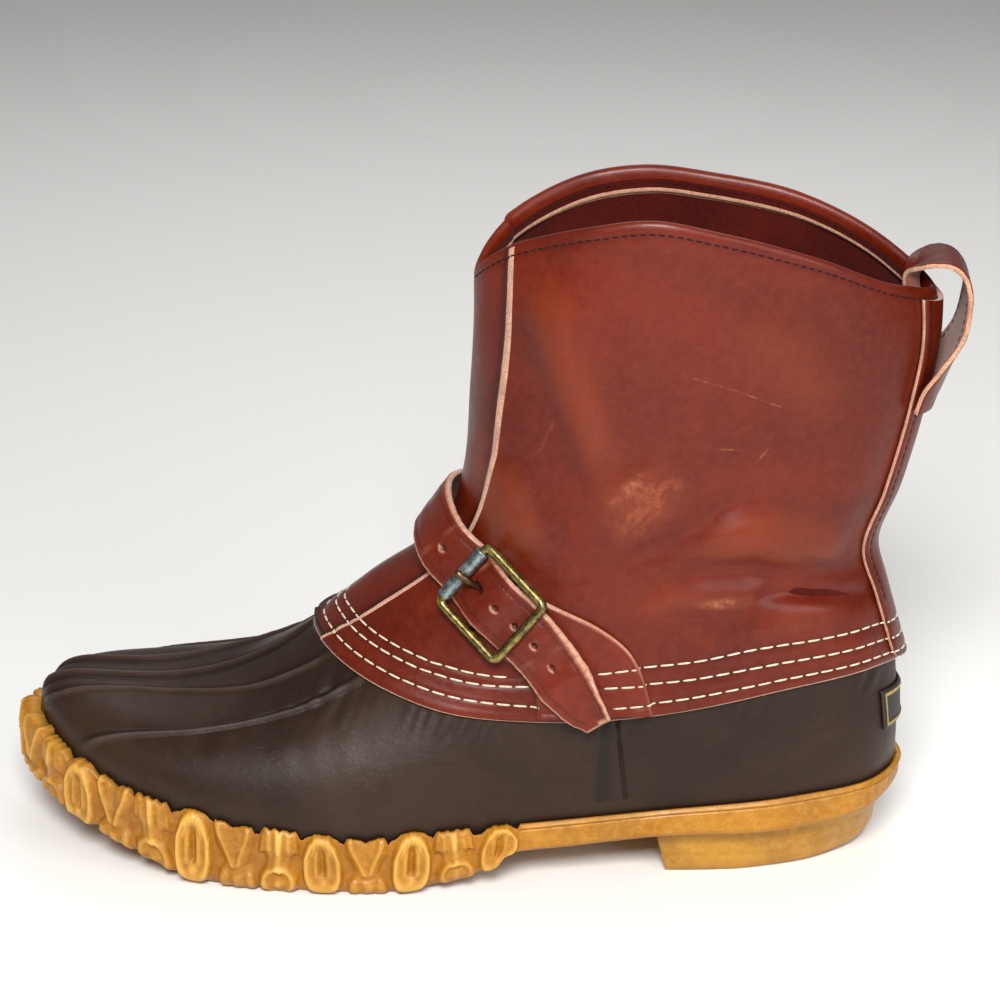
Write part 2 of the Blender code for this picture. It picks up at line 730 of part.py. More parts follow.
def lug_profile(phase, kind, height):
    """Share of LUG_PROUD at a phase across one lug: rings with a slot, or stems with a foot."""
    edge = abs(phase) > 0.45
    if edge:
        return 0.0
    if kind == 0:
        return 0.45 if abs(phase) < 0.2 and 0.3 < height < 0.9 else 1.0
    if height < 0.3:
        return 1.0
    if height < 0.7:
        return 1.0 if abs(phase) < 0.2 else 0.35
    return 1.0 if abs(phase) > 0.2 else 0.6


def sole_columns():
    """Ring parameters of the sole with the lug phase and kind of each column."""
    t, along = dense_ring(FEATHER)
    middle = np.interp(STATIONS / 2, t, along)
    side = []
    for k in range(LUGS_EACH_SIDE + 1):
        for phase in LUG_COLUMNS:
            place = (k + phase) * LUG_PITCH
            if place > 0.01 * LUG_PITCH and k + phase <= LUGS_EACH_SIDE + 0.5:
                side.append((place, phase, k % 2))
    end = side[-1][0]
    count = 17
    for j in range(count):
        place = end + (middle - end) * ((j + 0.6) / (count + 0.1))
        side.append((place, None, 0))
    lateral = [(np.interp(p, along, t), ph, kind) for p, ph, kind in side]
    medial = [(np.interp(along[-1] - p, along, t), ph, kind) for p, ph, kind in side]
    mark = (STATIONS / 2, None, 0)
    return [(0.0, 0.0, 0)] + lateral + [mark] + medial[::-1]


def sole_solid(look):
    columns = sole_columns()
    t = np.array([c[0] for c in columns])
    feather = ring_at(FEATHER, t)
    out = plan_normals(feather)
    below, side = (smooth_at(SOLE_OUTSETS, t) * HALF_WIDTH).T
    rings = []
    foot = feather + out * below[:, None]
    floor = underside_height(foot[:, 0])
    for height, side_share, lug_share in BAND_ROWS:
        outset = below + (side - below) * side_share
        top = feather[:, 2].copy()
        for c, (_, phase, kind) in enumerate(columns):
            if phase is None:
                continue
            lug = lug_profile(phase, kind, height)
            outset[c] += LUG_PROUD * lug_share * lug
            if abs(phase) > 0.45:
                top[c] -= LUG_DIP
        ring = feather + out * outset[:, None]
        ring[:, 2] = floor + (top - floor) * height
        rings.append(ring)
    rim = feather + out * SOLE_GAP
    rim[:, 2] = rings[-1][:, 2]
    rings.append(rim)
    bed = feather - out * (FOOT_INSET - SOLE_GAP)
    bed[:, 2] = bed_height(bed[:, 0])
    rings.append(bed)
    return capped_solid("outsole", rings, look)



def heel_solid(look):
    rows = np.array(HEEL_BLOCK) * (FOOT_LENGTH, HALF_WIDTH, FOOT_LENGTH, HALF_WIDTH)
    rings = []
    for level in (0, 1):
        x, y = rows[:, 2 * level], rows[:, 2 * level + 1]
        ring = np.stack([
            np.concatenate([x, x[-2::-1]]),
            np.concatenate([y, -y[-2::-1]]),
            np.zeros(2 * len(x) - 1),
        ], 1)
        front = np.array([[x[0], 0.0, 0.0]])
        ring = np.concatenate([front, ring])
        if level:
            ring[:, 2] = underside_height(ring[:, 0]) - HEEL_GAP
        rings.append(ring)
    return capped_solid("heel", rings, look, smooth=True)


def insole_solid(inner, look):
    """Flat pad on the foot bed, inside the rubber's own inside."""
    foot = inner[0] - plan_normals(inner[0]) * INSOLE_INSET
    low = foot.copy()
    low[:, 2] = bed_height(foot[:, 0]) + INSOLE_GAP
    high = low.copy()
    high[:, 2] += INSOLE_THICKNESS
    return capped_solid("insole", [low, high], look)


# Pieces over the back

def back_columns(count):
    middle = count // 2
    return [middle - 2, middle - 1, middle, middle + 1, middle + 2]


def stay_solid(field, look):
    columns = back_columns(len(field[0]))
    rules = leather_rules()
    rules += [lambda whole: whole - COLLAR_FOLD_DEPTH / 2]
    near, far = [], []
    for rule in rules:
        near.append(leather_offset(field, rule, -FIT_GAP)[columns])
        far.append(leather_offset(field, rule, -FIT_GAP - STAY_THICKNESS)[columns])
    return slab_solid("back_stay", np.array(far), np.array(near), look)


# Pull loop, rows from the sewn foot outside to the sewn end inside. Columns: height above the
# lowest point of the collar of LOOP_LENGTH, distance outside the leather of LOOP_STAND, and how far
# the row is straight across rather than round the leather.
LOOP_PATH = (
    (-1.000, 0.38, 0.0),
    (-0.825, 0.49, 0.0),
    (-0.625, 0.65, 0.4),
    (-0.400, 0.84, 0.9),
    (-0.175, 0.98, 1.0),
    (0.025, 1.00, 1.0),
    (0.155, 0.76, 1.0),
    (0.230, 0.34, 1.0),
    (0.240, -0.06, 1.0),
    (0.205, -0.42, 0.6),
    (0.115, -0.69, 0.0),
    (-0.050, -0.69, 0.0),
    (-0.250, -0.65, 0.0),
    (-0.450, -0.55, 0.0),
)


def loop_solid(field, look):
    """Strip folded over the back of the collar; its heights are from the collar's lowest point."""
    columns = back_columns(len(field[0]))
    lines, along, normals = field
    low = lines[columns[2], -1, 2]
    rows = []
    for height, out, straight in LOOP_PATH:
        z = low + height * LOOP_LENGTH
        out = out * LOOP_STAND
        bases, faces = [], []
        for c in columns:
            heights = lines[c][:, 2]
            base = np.array([np.interp(z, heights, lines[c][:, k]) for k in range(3)])
            base[2] = z
            n = np.array([np.interp(z, heights, normals[c][:, k]) for k in range(3)])
            bases.append(base)
            faces.append(unit(n * (1.0, 1.0, 0.0)))
        middle = bases[2] + faces[2] * out
        across = np.array([-faces[2][1], faces[2][0], 0.0])
        row = []
        for k, share in enumerate((-1.0, -0.5, 0.0, 0.5, 1.0)):
            round_back = bases[k] + faces[k] * out
            flat = middle + across * STAY_HALF_WIDTH * share
            row.append(round_back * (1 - straight) + flat * straight)
        rows.append(row)
    middle = np.array(rows)
    along_path = np.gradient(middle, axis=0)
    across = np.gradient(middle, axis=1)
    face = unit(np.cross(along_path, across))
    outer = middle + face * LOOP_THICKNESS / 2
    inner = middle - face * LOOP_THICKNESS / 2
    return slab_solid("pull_loop", outer, inner, look)


def label_solid(grid, look):
    """Bare patch on the back of the rubber, between two of its rows."""
    columns = back_columns(grid.shape[1])
    normals = grid_normals(grid)
    near, far = [], []
    for r in LABEL_ROWS:
        near.append((grid[r] + normals[r] * FIT_GAP)[columns])
        far.append((grid[r] + normals[r] * (FIT_GAP + LABEL_THICKNESS))[columns])
    return slab_solid("heel_label", np.array(far), np.array(near), look)


LABEL_ROWS = (4, 5, 6, 7)


# Strap, buckle and the piece that holds them

# Place of the buckle: x of FOOT_LENGTH and height of SHAFT_HEIGHT on the lateral leather, then the
# directions along the strap to its loose end and out of the leather.
BUCKLE_PLACE = (0.454, 0.428)
BUCKLE_ALONG = (-0.680, 0.493, -0.543)
BUCKLE_OUT = (0.360, 0.869, 0.340)

# Strap on the leather, rows from its sewn medial end to the instep and from the buckle to its loose
# end. Columns: x of FOOT_LENGTH, height of SHAFT_HEIGHT, slope of the strap's width in degrees below
# +X, width as a share of STRAP_WIDTH.
STRAP_MEDIAL = (
    (0.368, 0.276, 10, 1.65),
    (0.377, 0.306, 18, 1.35),
    (0.397, 0.350, 28, 1.10),
    (0.430, 0.400, 38, 1.00),
    (0.467, 0.450, 46, 1.00),
)
STRAP_TAIL = (
    (0.405, 0.370, 48, 0.98),
    (0.378, 0.325, 46, 0.96),
    (0.353, 0.288, 52, 0.80),
    (0.342, 0.272, 58, 0.50),
)

# Strap in the air over the instep. Columns: x of FOOT_LENGTH, y of HALF_WIDTH, height of
# SHAFT_HEIGHT, slope of the width in degrees.
STRAP_BRIDGE = (
    (0.512, -0.440, 0.508, 52),
    (0.532, -0.100, 0.522, 55),
    (0.530, 0.180, 0.512, 54),
    (0.514, 0.400, 0.490, 52),
)

# Strap inside the buckle: distance along it from the buckle's middle of half BUCKLE_LENGTH, and
# height of the strap's middle above the leather there of BUCKLE_HEIGHT
STRAP_IN_BUCKLE = (
    (-1.00, 0.22),
    (-0.67, 0.41),
    (-0.30, 0.79),
    (0.00, 0.95),
    (0.33, 0.79),
    (0.70, 0.44),
    (1.00, 0.35),
)

# Lateral anchor, rows from under the buckle to the leather's lower edge. Columns: x of FOOT_LENGTH
# and height of SHAFT_HEIGHT of its front edge, then of its back edge.
ANCHOR_ROWS = (
    (0.457, 0.362, 0.418, 0.446),
    (0.436, 0.345, 0.386, 0.430),
    (0.421, 0.330, 0.346, 0.407),
    (0.415, 0.318, 0.314, 0.376),
    (0.412, 0.304, 0.299, 0.345),
    (0.411, 0.288, 0.290, 0.310),
    (0.411, 0.272, 0.285, 0.280),
)


def surface_tree(thing):
    mesh = thing.data
    points = [v.co.copy() for v in mesh.vertices]
    return BVHTree.FromPolygons(points, [tuple(p.vertices) for p in mesh.polygons])


def on_side(tree, x, z, side):
    """Point and outward normal of the leather at x, z on the lateral (+1) or medial (-1) side."""
    start = Vector((x, 4 * HALF_WIDTH * side, z))
    point, normal, _, _ = tree.ray_cast(start, Vector((0.0, -side, 0.0)))
    if point is None or point[1] * side < 0:
        return None
    normal = np.array(normal)
    return np.array(point), normal * (1.0 if normal[1] * side > 0 else -1.0)


def smooth_on_side(tree, x, z, side):
    """The same with the normal averaged over a few millimetres."""
    reach = 2 * LEATHER_WALL
    point, _ = on_side(tree, x, z, side)
    total = np.zeros(3)
    for dx, dz in ((-1, 0), (1, 0), (0, -1), (0, 1)):
        found = on_side(tree, x + dx * reach, z + dz * reach, side)
        if found:
            total += found[1]
    return point, unit(total)


def buckle_frame_axes(tree):
    """Point on the leather under the buckle's middle, and its along, across and out directions."""
    x, z = BUCKLE_PLACE[0] * FOOT_LENGTH, BUCKLE_PLACE[1] * SHAFT_HEIGHT
    point, _ = on_side(tree, x, z, 1)
    out = unit(np.array(BUCKLE_OUT))
    along = np.array(BUCKLE_ALONG)
    along = unit(along - out * np.dot(along, out))
    return point, along, np.cross(along, out), out


def strap_rows(tree):
    """Control rows of the strap: middle, width direction, width share and outward direction."""
    rows = []

    def slope(degrees):
        angle = math.radians(degrees)
        return np.array([math.cos(angle), 0.0, -math.sin(angle)])

    lift = PATCH_GAP + STRAP_THICKNESS / 2
    for x, z, degrees, share in STRAP_MEDIAL:
        point, normal = smooth_on_side(tree, x * FOOT_LENGTH, z * SHAFT_HEIGHT, -1)
        rows.append((point + normal * lift, slope(degrees), share))
    for x, y, z, degrees in STRAP_BRIDGE:
        point = np.array([x * FOOT_LENGTH, y * HALF_WIDTH, z * SHAFT_HEIGHT])
        rows.append((point, slope(degrees), 1.0))
    base, along, across, out = buckle_frame_axes(tree)
    for distance, height in STRAP_IN_BUCKLE:
        place = base + along * distance * BUCKLE_LENGTH / 2 + out * height * BUCKLE_HEIGHT
        rows.append((place, across, 1.0))
    lift = 2 * PATCH_GAP + ANCHOR_THICKNESS + STRAP_THICKNESS / 2
    for x, z, degrees, share in STRAP_TAIL:
        point, normal = smooth_on_side(tree, x * FOOT_LENGTH, z * SHAFT_HEIGHT, 1)
        rows.append((point + normal * lift, slope(degrees), share))
    return rows


STRAP_STEPS = 46
ACROSS = (-1.0, -0.5, 0.0, 0.5, 1.0)


def strap_grid(tree, others):
    rows = strap_rows(tree)
    t = np.linspace(0, len(rows) - 1, STRAP_STEPS)
    middle = curve_at([r[0] for r in rows], t, False)
    width = unit(curve_at([r[1] for r in rows], t, False))
    share = np.interp(t, np.arange(len(rows)), [r[2] for r in rows])
    along = unit(np.gradient(middle, axis=0))
    width = unit(width - along * np.sum(width * along, axis=1, keepdims=True))
    out = unit(np.cross(along, -width))
    grid = []
    for k in range(STRAP_STEPS):
        half = STRAP_WIDTH / 2 * share[k]
        grid.append([middle[k] + width[k] * half * a for a in ACROSS])
    grid = np.array(grid)
    under = -out * STRAP_THICKNESS / 2
    for k in range(STRAP_STEPS):
        push = 0.0
        for point in grid[k] + under[k]:
            for other in others:
                start = Vector(point + out[k] * STRAP_WIDTH)
                hit = other.ray_cast(start, Vector(-out[k]), 2 * STRAP_WIDTH)
                if hit[0] is not None:
                    push = max(push, PATCH_GAP - (hit[3] - STRAP_WIDTH))
        grid[k] += out[k] * push
    return grid, out


def strap_solid(tree, others, look):
    grid, out = strap_grid(tree, others)
    half = out[:, None, :] * STRAP_THICKNESS / 2
    made = slab_solid("strap", grid - half, grid + half, look)
    return made, grid, out


def anchor_solid(tree, look):
    near, far = [], []
    scale = np.array([FOOT_LENGTH, SHAFT_HEIGHT])
    for row in ANCHOR_ROWS:
        front, back = np.array(row[:2]) * scale, np.array(row[2:]) * scale
        low, high = [], []
        for f in (0.0, 0.25, 0.5, 0.75, 1.0):
            x, z = front + (back - front) * f
            point, normal = smooth_on_side(tree, x, z, 1)
            low.append(point + normal * PATCH_GAP)
            high.append(point + normal * (PATCH_GAP + ANCHOR_THICKNESS))
        near.append(low)
        far.append(high)
    return slab_solid("strap_anchor", np.array(far), np.array(near), look)


def rod(path, radius, sides, closed, side_axis):
    """Rings of a round bar along a path."""
    path = np.asarray(path, float)
    if closed:
        along = unit(np.roll(path, -1, axis=0) - np.roll(path, 1, axis=0))
    else:
        along = unit(np.gradient(path, axis=0))
    first = unit(np.cross(along, np.broadcast_to(side_axis, path.shape)))
    second = np.cross(along, first)
    radius = np.broadcast_to(np.asarray(radius, float), (len(path),))
    angle = np.arange(sides) * 2 * math.pi / sides
    rings = []
    for k in range(len(path)):
        ring = path[k] + radius[k] * (
            np.cos(angle)[:, None] * first[k] + np.sin(angle)[:, None] * second[k]
        )
        rings.append(ring)
    return np.array(rings)


def ring_solid(name, rings, look):
    """Closed loop of rings, such as a frame."""
    rows, columns = rings.shape[:2]
    faces = tube_faces(rows, columns, close_rows=True)
    return add_object(name, rings.reshape(-1, 3), faces, look)


def bar_solid(name, rings, look):
    rows, columns = rings.shape[:2]
    faces = tube_faces(rows, columns)
    faces.append(tuple(range(columns)))
    faces.append(tuple((rows - 1) * columns + c for c in range(columns)))
    return add_object(name, rings.reshape(-1, 3), faces, look)


def combine(target, other, operation):
    change = target.modifiers.new(operation.lower(), "BOOLEAN")
    change.operation = operation
    change.solver = "EXACT"
    change.object = other
    other.hide_render = True
    other.display_type = "WIRE"


def buckle_solids(tree, brass, steel):
    base, along, across, out = buckle_frame_axes(tree)
    middle = base + out * BUCKLE_HEIGHT
    half_l = (BUCKLE_LENGTH - BUCKLE_BAR) / 2
    half_w = (BUCKLE_WIDTH - BUCKLE_BAR) / 2
    path = []
    for sa, sb in ((1, -1), (1, 1), (-1, 1), (-1, -1)):
        for turn in (0.0, math.pi / 4, math.pi / 2):
            one, two = math.sin(turn), math.cos(turn)
            da, db = (one, two) if sa * sb < 0 else (two, one)
            a = sa * (half_l - BUCKLE_CORNER + BUCKLE_CORNER * da)
            b = sb * (half_w - BUCKLE_CORNER + BUCKLE_CORNER * db)
            path.append((a, b))
    inner_w = half_w - BUCKLE_CORNER - 2 * FIT_GAP
    path[9:9] = [(-half_l, inner_w), (-half_l, -inner_w)]
    size = [BUCKLE_BAR / 2] * len(path)
    size[9] = size[10] = ROLLER_BAR / 2
    places = [middle + along * a + across * b for a, b in path]
    frame = ring_solid("buckle_frame", rod(places, size, 8, True, out), brass)
    centre = base + out * CENTRE_BAR_HEIGHT
    bend = half_w - CENTRE_BAR / 2
    places = [middle - across * half_w, centre - across * bend, centre]
    places += [centre + across * bend, middle + across * half_w]
    bar = bar_solid("centre_bar_join", rod(places, CENTRE_BAR / 2, 8, False, out), brass)
    combine(frame, bar, "UNION")
    roller_middle = middle - along * half_l
    ends = [roller_middle - across * ROLLER_LENGTH / 2, roller_middle + across * ROLLER_LENGTH / 2]
    outer = rod(ends, ROLLER_OUTSIDE / 2, 12, False, out)
    inner = rod(ends, ROLLER_BORE / 2, 12, False, out)
    rings = np.array([outer[0], outer[1], inner[1], inner[0]])
    ring_solid("buckle_roller", rings, steel)
    half = BUCKLE_LENGTH / 2
    places = [base + along * a * half + out * h * BUCKLE_HEIGHT for a, h in PRONG_PATH]
    bar_solid("buckle_prong", rod(places, PRONG_THICKNESS / 2, 8, False, across), brass)
    return frame


# Prong: distance along the strap from the buckle's middle of half BUCKLE_LENGTH, and height above
# the leather of BUCKLE_HEIGHT; then where its slot in the strap starts and ends
PRONG_PATH = (
    (-0.173, 0.41),
    (-0.300, 0.32),
    (-0.413, 0.41),
    (-0.507, 0.71),
    (-0.600, 1.05),
    (-0.767, 1.49),
    (-0.987, 1.60),
)
PRONG_SLOT = (-0.613, -0.347)


def strap_holes(strap, base, along, out, look):
    """Cuts the slot that the prong comes through."""
    low, high = base - out * PATCH_GAP, base + out * 1.4 * BUCKLE_HEIGHT
    start, end = np.array(PRONG_SLOT) * BUCKLE_LENGTH / 2
    across = np.cross(along, out)
    half = STRAP_HOLE_WIDTH / 2
    rings = []
    for place in (low, high):
        ring = []
        for a, b in ((end, -half), (end, half), (start, half), (start, -half)):
            ring.append(place + along * a + across * b)
        rings.append(ring)
    cutter = bar_solid("prong_slot_cut", np.array(rings), look)
    combine(strap, cutter, "DIFFERENCE")


def build():
    clear_scene()
    leather = material("reddish brown leather", (0.16, 0.035, 0.018), 0.38)
    strap_look = material("reddish brown strap leather", (0.17, 0.038, 0.02), 0.45)
    rubber = material("dark brown rubber", (0.035, 0.024, 0.018), 0.42)
    amber = material("amber sole rubber", (0.55, 0.26, 0.05), 0.5)
    pale = material("light heel rubber", (0.60, 0.34, 0.11), 0.6)
    felt = material("brown insole", (0.10, 0.06, 0.04), 0.9)
    patch = material("dark rubber patch", (0.03, 0.02, 0.015), 0.5)
    brass = material("old brass", (0.50, 0.38, 0.16), 0.35, 1.0)
    steel = material("grey roller", (0.35, 0.40, 0.40), 0.4, 1.0)
    field = leather_field()
    upper = upper_solid(field, leather)
    grid = rubber_field(field)
    shell, inner = rubber_solid(grid, rubber)
    sole_solid(amber)
    heel_solid(pale)
    insole_solid(inner, felt)
    stay_solid(field, leather)
    loop_solid(field, leather)
    label_solid(grid, patch)
    tree = surface_tree(upper)
    anchor = anchor_solid(tree, strap_look)
    strap, strap_middle, strap_out = strap_solid(tree, [tree, surface_tree(anchor)], strap_look)
    base, along, across, out = buckle_frame_axes(tree)
    strap_holes(strap, base, along, out, strap_look)
    buckle_solids(tree, brass, steel)
    return centred()


def centred():
    """Moves every mesh so that the origin is the middle of the underside of the whole."""
    points = [
        np.array([tuple(v.co) for v in thing.data.vertices])
        for thing in bpy.data.objects
        if not thing.hide_render
    ]
    points = np.concatenate(points)
    low, high = points.min(axis=0), points.max(axis=0)
    shift = -np.array([(low[0] + high[0]) / 2, (low[1] + high[1]) / 2, low[2]])
    for thing in bpy.data.objects:
        thing.data.transform(Matrix.Translation(Vector(shift)))
    return shift


SHIFT = build()
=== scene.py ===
"""Looks of the left duck boot: scene.py, Blender 4.5, metres.

Shapes are worked out in the heel's frame, +X to the toe, +Y left, +Z up, from the same sizes as the
solids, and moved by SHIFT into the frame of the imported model.
"""
import math

import bmesh
import bpy
import numpy as np
from mathutils import Matrix, Vector
from mathutils.bvhtree import BVHTree


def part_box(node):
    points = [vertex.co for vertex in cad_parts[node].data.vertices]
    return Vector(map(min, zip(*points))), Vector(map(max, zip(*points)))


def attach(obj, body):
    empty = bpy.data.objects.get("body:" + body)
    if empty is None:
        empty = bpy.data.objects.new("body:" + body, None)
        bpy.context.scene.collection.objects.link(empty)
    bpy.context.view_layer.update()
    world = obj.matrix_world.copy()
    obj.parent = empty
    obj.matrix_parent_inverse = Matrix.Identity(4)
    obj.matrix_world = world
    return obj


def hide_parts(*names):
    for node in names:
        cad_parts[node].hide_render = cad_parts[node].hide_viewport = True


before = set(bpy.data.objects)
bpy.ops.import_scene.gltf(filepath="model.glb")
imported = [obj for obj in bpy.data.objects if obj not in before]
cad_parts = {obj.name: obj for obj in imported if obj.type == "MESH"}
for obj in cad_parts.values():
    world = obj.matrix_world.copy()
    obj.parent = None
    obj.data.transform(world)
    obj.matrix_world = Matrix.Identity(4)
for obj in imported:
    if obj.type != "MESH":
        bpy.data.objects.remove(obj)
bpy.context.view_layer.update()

# Named sizes of the solids
FOOT_LENGTH = 0.300
HALF_WIDTH = 0.050
SHAFT_HEIGHT = 0.230
LEATHER_WALL = 0.0020
RUBBER_WALL = 0.0022
FIT_GAP = 0.0004
LAP = 0.022
STRIP_STEP = 0.0013
STRIP_WALL = 0.0017
COLLAR_FOLD_WALL = 0.0036
RIB_HEIGHT = 0.0013
LUG_PROUD = 0.0030
LUG_PITCH = 0.0147
LUGS_EACH_SIDE = 13
LUG_DIP = 0.0030
INSOLE_THICKNESS = 0.0040
INSOLE_GAP = 0.0008
SOLE_GAP = 0.0009
FOOT_INSET = 0.0010
STAY_HALF_WIDTH = 0.0120
STAY_THICKNESS = 0.0016
LOOP_THICKNESS = 0.0020
STRAP_WIDTH = 0.0200
STRAP_THICKNESS = 0.0022
ANCHOR_THICKNESS = 0.0018
PATCH_GAP = 0.0006
BUCKLE_LENGTH = 0.0310
BUCKLE_WIDTH = 0.0285
BUCKLE_CORNER = 0.0024
BUCKLE_BAR = 0.0032
BUCKLE_HEIGHT = 0.0063
CENTRE_BAR = 0.0020
CENTRE_BAR_HEIGHT = 0.0034
ROLLER_OUTSIDE = 0.0046
ROLLER_BORE = 0.0032
ROLLER_BAR = 0.0024
ROLLER_LENGTH = 0.0205
PRONG_THICKNESS = 0.0018
LABEL_HALF_WIDTH = 0.0185
LABEL_THICKNESS = 0.0008

STATIONS = 18
LOOP_LENGTH = 0.0400
LOOP_STAND = 0.0095
BUCKLE_PLACE = (0.454, 0.428)
BUCKLE_ALONG = (-0.680, 0.493, -0.543)
BUCKLE_OUT = (0.360, 0.869, 0.340)
PRONG_SLOT = (-0.613, -0.347)
STRAP_STEPS = 46
ACROSS = (-1.0, -0.5, 0.0, 0.5, 1.0)

FEATHER = (
    (0.997, -0.180, 0.174, 0.997, -0.180, 0.174),
    (0.963, 0.260, 0.167, 0.977, -0.580, 0.167),
    (0.887, 0.700, 0.143, 0.907, -0.860, 0.148),
    (0.780, 0.930, 0.115, 0.793, -0.980, 0.117),
    (0.633, 1.020, 0.093, 0.653, -0.930, 0.096),
    (0.460, 0.910, 0.104, 0.467, -0.670, 0.107),
    (0.280, 0.760, 0.117, 0.280, -0.660, 0.120),
    (0.127, 0.710, 0.139, 0.127, -0.680, 0.139),
    (0.033, 0.450, 0.143, 0.033, -0.440, 0.143),
    (0.002, 0.020, 0.139, 0.002, 0.020, 0.139),
)
LAP_EDGE = (
    (0.677, -0.160, 0.330, 0.677, -0.160, 0.330),
    (0.665, 0.140, 0.328, 0.665, -0.420, 0.328),
    (0.637, 0.420, 0.317, 0.637, -0.660, 0.317),
    (0.590, 0.670, 0.300, 0.590, -0.820, 0.300),
    (0.520, 0.840, 0.278, 0.520, -0.880, 0.278),
    (0.407, 0.870, 0.265, 0.407, -0.820, 0.265),
    (0.273, 0.830, 0.276, 0.273, -0.780, 0.276),
    (0.140, 0.740, 0.309, 0.140, -0.720, 0.309),
    (0.040, 0.430, 0.315, 0.040, -0.430, 0.315),
    (0.000, 0.020, 0.304, 0.000, 0.020, 0.304),
)
INSTEP = (
    (0.617, -0.140, 0.396, 0.617, -0.140, 0.396),
    (0.608, 0.090, 0.393, 0.608, -0.360, 0.393),
    (0.583, 0.320, 0.389, 0.583, -0.560, 0.389),
    (0.537, 0.540, 0.383, 0.537, -0.710, 0.383),
    (0.470, 0.710, 0.372, 0.470, -0.780, 0.372),
    (0.377, 0.770, 0.365, 0.377, -0.760, 0.365),
    (0.267, 0.770, 0.376, 0.267, -0.740, 0.376),
    (0.153, 0.690, 0.402, 0.153, -0.680, 0.402),
    (0.063, 0.410, 0.415, 0.063, -0.410, 0.415),
    (0.027, 0.010, 0.417, 0.027, 0.010, 0.417),
)
THROAT = (
    (0.520, -0.100, 0.500, 0.520, -0.100, 0.500),
    (0.513, 0.100, 0.500, 0.513, -0.290, 0.500),
    (0.497, 0.290, 0.496, 0.497, -0.460, 0.496),
    (0.465, 0.480, 0.487, 0.465, -0.600, 0.487),
    (0.412, 0.630, 0.478, 0.412, -0.690, 0.478),
    (0.343, 0.720, 0.472, 0.343, -0.740, 0.472),
    (0.260, 0.730, 0.467, 0.260, -0.740, 0.467),
    (0.167, 0.640, 0.470, 0.167, -0.640, 0.470),
    (0.078, 0.370, 0.476, 0.078, -0.370, 0.476),
    (0.040, 0.006, 0.480, 0.040, 0.006, 0.480),
)
ANKLE = (
    (0.503, -0.070, 0.578, 0.503, -0.070, 0.578),
    (0.497, 0.110, 0.578, 0.497, -0.260, 0.578),
    (0.480, 0.290, 0.578, 0.480, -0.430, 0.578),
    (0.448, 0.480, 0.576, 0.448, -0.580, 0.576),
    (0.397, 0.630, 0.574, 0.397, -0.670, 0.574),
    (0.330, 0.730, 0.574, 0.330, -0.730, 0.574),
    (0.247, 0.740, 0.574, 0.247, -0.740, 0.574),
    (0.148, 0.630, 0.574, 0.148, -0.630, 0.574),
    (0.057, 0.340, 0.574, 0.057, -0.340, 0.574),
    (0.018, 0.000, 0.574, 0.018, 0.000, 0.574),
)
MID_SHAFT = (
    (0.495, -0.060, 0.704, 0.495, -0.060, 0.704),
    (0.488, 0.120, 0.704, 0.488, -0.240, 0.704),
    (0.472, 0.300, 0.704, 0.472, -0.420, 0.704),
    (0.440, 0.480, 0.704, 0.440, -0.570, 0.704),
    (0.392, 0.630, 0.704, 0.392, -0.660, 0.704),
    (0.322, 0.720, 0.704, 0.322, -0.720, 0.704),
    (0.233, 0.720, 0.704, 0.233, -0.720, 0.704),
    (0.132, 0.600, 0.704, 0.132, -0.620, 0.704),
    (0.033, 0.310, 0.704, 0.033, -0.340, 0.704),
    (-0.005, -0.020, 0.704, -0.005, -0.020, 0.704),
)
UPPER_SHAFT = (
    (0.490, -0.030, 0.826, 0.490, -0.030, 0.826),
    (0.483, 0.140, 0.828, 0.483, -0.210, 0.828),
    (0.463, 0.310, 0.835, 0.463, -0.400, 0.835),
    (0.430, 0.490, 0.846, 0.430, -0.560, 0.846),
    (0.382, 0.640, 0.857, 0.382, -0.660, 0.857),
    (0.313, 0.720, 0.863, 0.313, -0.710, 0.863),
    (0.228, 0.710, 0.857, 0.228, -0.710, 0.857),
    (0.127, 0.590, 0.830, 0.127, -0.620, 0.830),
    (0.025, 0.300, 0.800, 0.025, -0.360, 0.800),
    (-0.015, -0.030, 0.787, -0.015, -0.030, 0.787),
)
COLLAR = (
    (0.490, 0.000, 0.887, 0.490, 0.000, 0.887),
    (0.478, 0.160, 0.907, 0.482, -0.180, 0.907),
    (0.452, 0.310, 0.935, 0.458, -0.380, 0.937),
    (0.412, 0.490, 0.961, 0.418, -0.550, 0.965),
    (0.360, 0.650, 0.983, 0.367, -0.670, 0.987),
    (0.297, 0.720, 0.996, 0.303, -0.710, 0.998),
    (0.220, 0.710, 0.978, 0.223, -0.710, 0.987),
    (0.123, 0.580, 0.939, 0.127, -0.610, 0.965),
    (0.033, 0.280, 0.885, 0.030, -0.330, 0.911),
    (-0.015, -0.040, 0.865, -0.015, -0.040, 0.865),
)

# Rubber's side between FEATHER and LAP_EDGE, a row for each station. Columns: rise and swell of the
# lower handle, drop of the upper one, each of HALF_WIDTH, and the upper handle's reach toward the
# feather line as a share of the way.
RUBBER_HANDLES = (
    (0.560, 0.000, 0.880, 0.490),
    (0.520, 0.000, 0.800, 0.470),
    (0.420, 0.010, 0.620, 0.420),
    (0.360, 0.020, 0.430, 0.380),
    (0.300, 0.030, 0.300, 0.320),
    (0.240, 0.030, 0.240, 0.300),
    (0.240, 0.010, 0.240, 0.200),
    (0.260, 0.010, 0.260, 0.200),
    (0.260, 0.010, 0.260, 0.200),
    (0.260, 0.010, 0.260, 0.200),
)

# Outsole below FEATHER, a row for each station. Column: outset of the bottom edge and of the side, of
# HALF_WIDTH.
SOLE_OUTSETS = (
    (-0.060, 0.105),
    (-0.070, 0.095),
    (-0.080, 0.040),
    (-0.050, 0.025),
    (-0.020, 0.020),
    (-0.010, 0.036),
    (0.020, 0.036),
    (0.020, 0.036),
    (0.010, 0.036),
    (0.000, 0.036),
)

